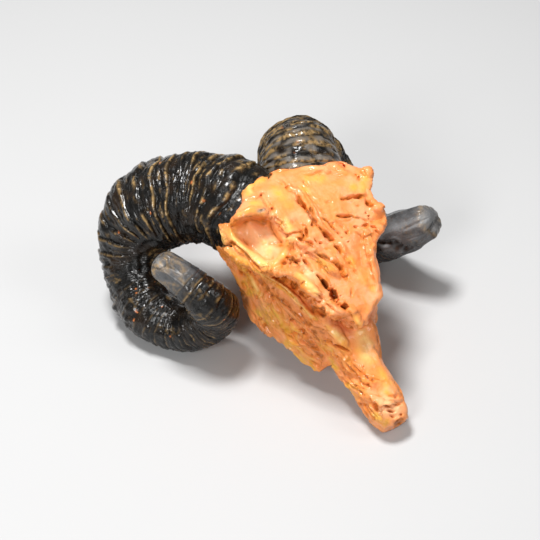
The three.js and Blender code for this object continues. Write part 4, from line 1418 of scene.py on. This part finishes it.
class Finish:
    """A small helper that builds a material node by node."""

    def __init__(self, name):
        self.material = bpy.data.materials.new(name)
        self.material.use_nodes = True
        self.nodes, self.links = self.material.node_tree.nodes, self.material.node_tree.links
        self.shader = self.nodes["Principled BSDF"]
        self.place = self.nodes.new("ShaderNodeTexCoord").outputs["Object"]

    def wire(self, source, socket):
        if hasattr(source, "is_output"):
            self.links.new(source, socket)
        else:
            socket.default_value = source

    def mask(self, name):
        node = self.nodes.new("ShaderNodeAttribute")
        node.attribute_name = name
        return node.outputs["Fac"]

    def noise(self, scale, detail=4.0, rough=0.6):
        node = self.nodes.new("ShaderNodeTexNoise")
        node.inputs["Scale"].default_value = scale
        node.inputs["Detail"].default_value = detail
        node.inputs["Roughness"].default_value = rough
        self.wire(self.place, node.inputs["Vector"])
        return node.outputs["Fac"]

    def ramp(self, source, low, high, to_low=0.0, to_high=1.0):
        node = self.nodes.new("ShaderNodeMapRange")
        node.interpolation_type = "SMOOTHSTEP"
        for socket, value in zip(node.inputs, (source, low, high, to_low, to_high)):
            self.wire(value, socket)
        return node.outputs["Result"]

    def times(self, a, b):
        node = self.nodes.new("ShaderNodeMath")
        node.operation = "MULTIPLY"
        node.use_clamp = True
        self.wire(a, node.inputs[0])
        self.wire(b, node.inputs[1])
        return node.outputs[0]

    def mix(self, share, a, b):
        node = self.nodes.new("ShaderNodeMix")
        node.data_type = "RGBA"
        self.wire(share, node.inputs["Factor"])
        self.wire(a, node.inputs["A"])
        self.wire(b, node.inputs["B"])
        return node.outputs["Result"]

    def bump(self, height, strength, distance, under=None):
        node = self.nodes.new("ShaderNodeBump")
        node.inputs["Strength"].default_value = strength
        node.inputs["Distance"].default_value = distance
        self.wire(height, node.inputs["Height"])
        if under is not None:
            self.wire(under, node.inputs["Normal"])
        return node.outputs["Normal"]

    def varnish(self, colour, rough, grain, relief, specular, coat_rough):
        """Ends a material. rough: scale and detail of a noise, and the lowest and highest roughness.
        grain and relief: scale of a noise, strength and distance in metres of its bump."""
        inputs = self.shader.inputs
        self.wire(colour, inputs["Base Color"])
        self.wire(self.ramp(self.noise(*rough[:2]), 0.3, 0.7, *rough[2:]), inputs["Roughness"])
        fine = self.bump(self.noise(grain[0], 5, 0.7), *grain[1:])
        self.wire(self.bump(self.noise(relief[0], 4), *relief[1:], fine), inputs["Normal"])
        inputs["Specular IOR Level"].default_value = specular
        inputs["Coat Weight"].default_value = COAT
        inputs["Coat Roughness"].default_value = coat_rough


bone = Finish("painted_resin_bone")
blotch = bone.ramp(bone.noise(110, 5), 0.38, 0.68)
patchy = bone.ramp(bone.noise(260, 4), 0.30, 0.55, 0.55, 1.0)
thin = bone.ramp(bone.noise(420, 4), 0.25, 0.6, 0.6, 1.0)
# painted shade and brown wash, thinned a little by noise
wash_and_shade_coat = bone.times(bone.ramp(bone.mask("wash_and_shade"), 0.0, 1.0), thin)
colour = bone.mix(blotch, ORANGE, PALE_ORANGE)
# the rose, cream and brown coats carry painted light and painted shade as well as paint
for share, strength, tone in (
    (bone.mask("rose_and_light"), 0.75, ROSE_AND_LIGHT_TONE),
    (bone.mask("yellow"), patchy, YELLOW_PAINT),
    (bone.mask("ochre"), patchy, OCHRE_PAINT),
    (bone.mask("cream_and_light"), 0.8, CREAM_AND_LIGHT_PAINT),
    (wash_and_shade_coat, 0.85, WASH_AND_SHADE_BROWN),
    (bone.ramp(bone.mask("wash_and_shade"), 0.75, 1.0), 0.45, DEEP_WASH_AND_SHADE),
    (bone.mask("grey"), 1.0, BARE_GREY),
):
    colour = bone.mix(bone.times(share, strength), colour, tone)
bone.varnish(
    colour, rough=(600, 3, 0.30, 0.48), grain=(2200, 0.4, 0.0002), relief=(850, 0.6, 0.0005),
    specular=0.15, coat_rough=0.08,
)
skull.data.materials.clear()
skull.data.materials.append(bone.material)
only(skull)
bpy.ops.object.shade_smooth()
print("skull finish ready")

# %% [markdown]
# The horns are painted black and varnished to a gloss. Ochre was dragged over them with a nearly dry
# brush, so it sits on the crests of the rings and leaves the grooves black. The root of the left horn has a
# pale grey on its rings, part grey paint and part painted sheen, and the smooth tips are greyer, with
# silver that paints the sheen of the varnish where the strokes are.

# %% Horn finish
BLACK = (0.005, 0.0045, 0.004, 1)
WARM_BLACK = (0.018, 0.010, 0.005, 1)
DRY_OCHRE = (0.38, 0.24, 0.095, 1)
TIP_GREY = (0.10, 0.101, 0.104, 1)
# painted sheen on the tips
SILVER_SHEEN = (0.25, 0.255, 0.26, 1)
# part grey paint, part painted sheen on the left horn's rings
GREY_SHEEN_TONE = (0.17, 0.15, 0.13, 1)
ORANGE_SPECK = (0.55, 0.17, 0.05, 1)

keratin = Finish("painted_resin_horn")
cloudy = keratin.ramp(keratin.noise(200, 4), 0.3, 0.6, 0.4, 1.0)
dry_brush = keratin.ramp(keratin.noise(700, 5), 0.38, 0.58, 0.1, 1.0)
colour = keratin.mix(keratin.ramp(keratin.noise(140, 5), 0.45, 0.7), BLACK, WARM_BLACK)
# the pale grey and the silver paint the sheen of the varnish on the black, along with the real paints
for name, strength, tone in (
    ("smooth", cloudy, TIP_GREY),
    ("frost", 1.0, GREY_SHEEN_TONE),
    ("silver_sheen", 0.8, SILVER_SHEEN),
    ("ochre", dry_brush, DRY_OCHRE),
    ("speck", 1.0, ORANGE_SPECK),
):
    colour = keratin.mix(keratin.times(keratin.mask(name), strength), colour, tone)
keratin.varnish(
    colour, rough=(350, 4, 0.16, 0.40), grain=(1300, 0.4, 0.0003), relief=(420, 0.8, 0.0008),
    specular=0.18, coat_rough=0.13,
)
for piece, side in ((horn_right, "right"), (horn_left, "left")):
    piece.data.materials.clear()
    piece.data.materials.append(keratin.material)
    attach(piece, "root")
    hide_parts(*[f"horn_{side}_{part}" for part in ("base", "curl", "tip")])
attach(skull, "root")
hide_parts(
    "forehead_plate", "braincase", "cheek_right", "cheek_left", "muzzle",
    "eye_socket_right", "eye_socket_left",
)
print("horn finish ready")

# %% [markdown]
# The stage is a pale floor under soft light: a large lamp high behind the horns, which leaves the
# underside of each ledge in shade, a wider and weaker one from the front, and a faint one from the right.

# %% Stage
FLOOR_SIZE = 3.0
FLOOR_GREYS = (0.50, 0.50, 0.50, 1), (0.53, 0.53, 0.53, 1)
ROOM_LIGHT = (0.18, 0.18, 0.18, 1)
bpy.ops.object.select_all(action="DESELECT")
bpy.ops.mesh.primitive_plane_add(size=FLOOR_SIZE)
floor = bpy.context.active_object
floor.name = "floor"
paper = Finish("pale_floor")
paper.wire(paper.mix(paper.noise(3, 3), *FLOOR_GREYS), paper.shader.inputs["Base Color"])
paper.shader.inputs["Roughness"].default_value = 0.8
floor.data.materials.append(paper.material)


def lamp(name, where, size, power):
    """A square lamp aimed at what the camera looks at; place and size in metres, power in watts."""
    data = bpy.data.lights.new(name, "AREA")
    data.energy = power
    data.size = size
    light = bpy.data.objects.new(name, data)
    light.location = where
    light.rotation_euler = (Vector(where) - AIM).to_track_quat("Z", "Y").to_euler()
    bpy.context.scene.collection.objects.link(light)


lamp("key", (-0.10, 0.16, 0.80), 0.20, 7.9)
lamp("front", (-0.60, -0.42, 0.52), 0.24, 4.2)
lamp("right", (0.42, -0.42, 0.62), 0.28, 1.2)
world = bpy.data.worlds.new("room")
world.use_nodes = True
world.node_tree.nodes["Background"].inputs["Color"].default_value = ROOM_LIGHT
bpy.context.scene.world = world
bpy.context.scene.view_settings.view_transform = "Standard"
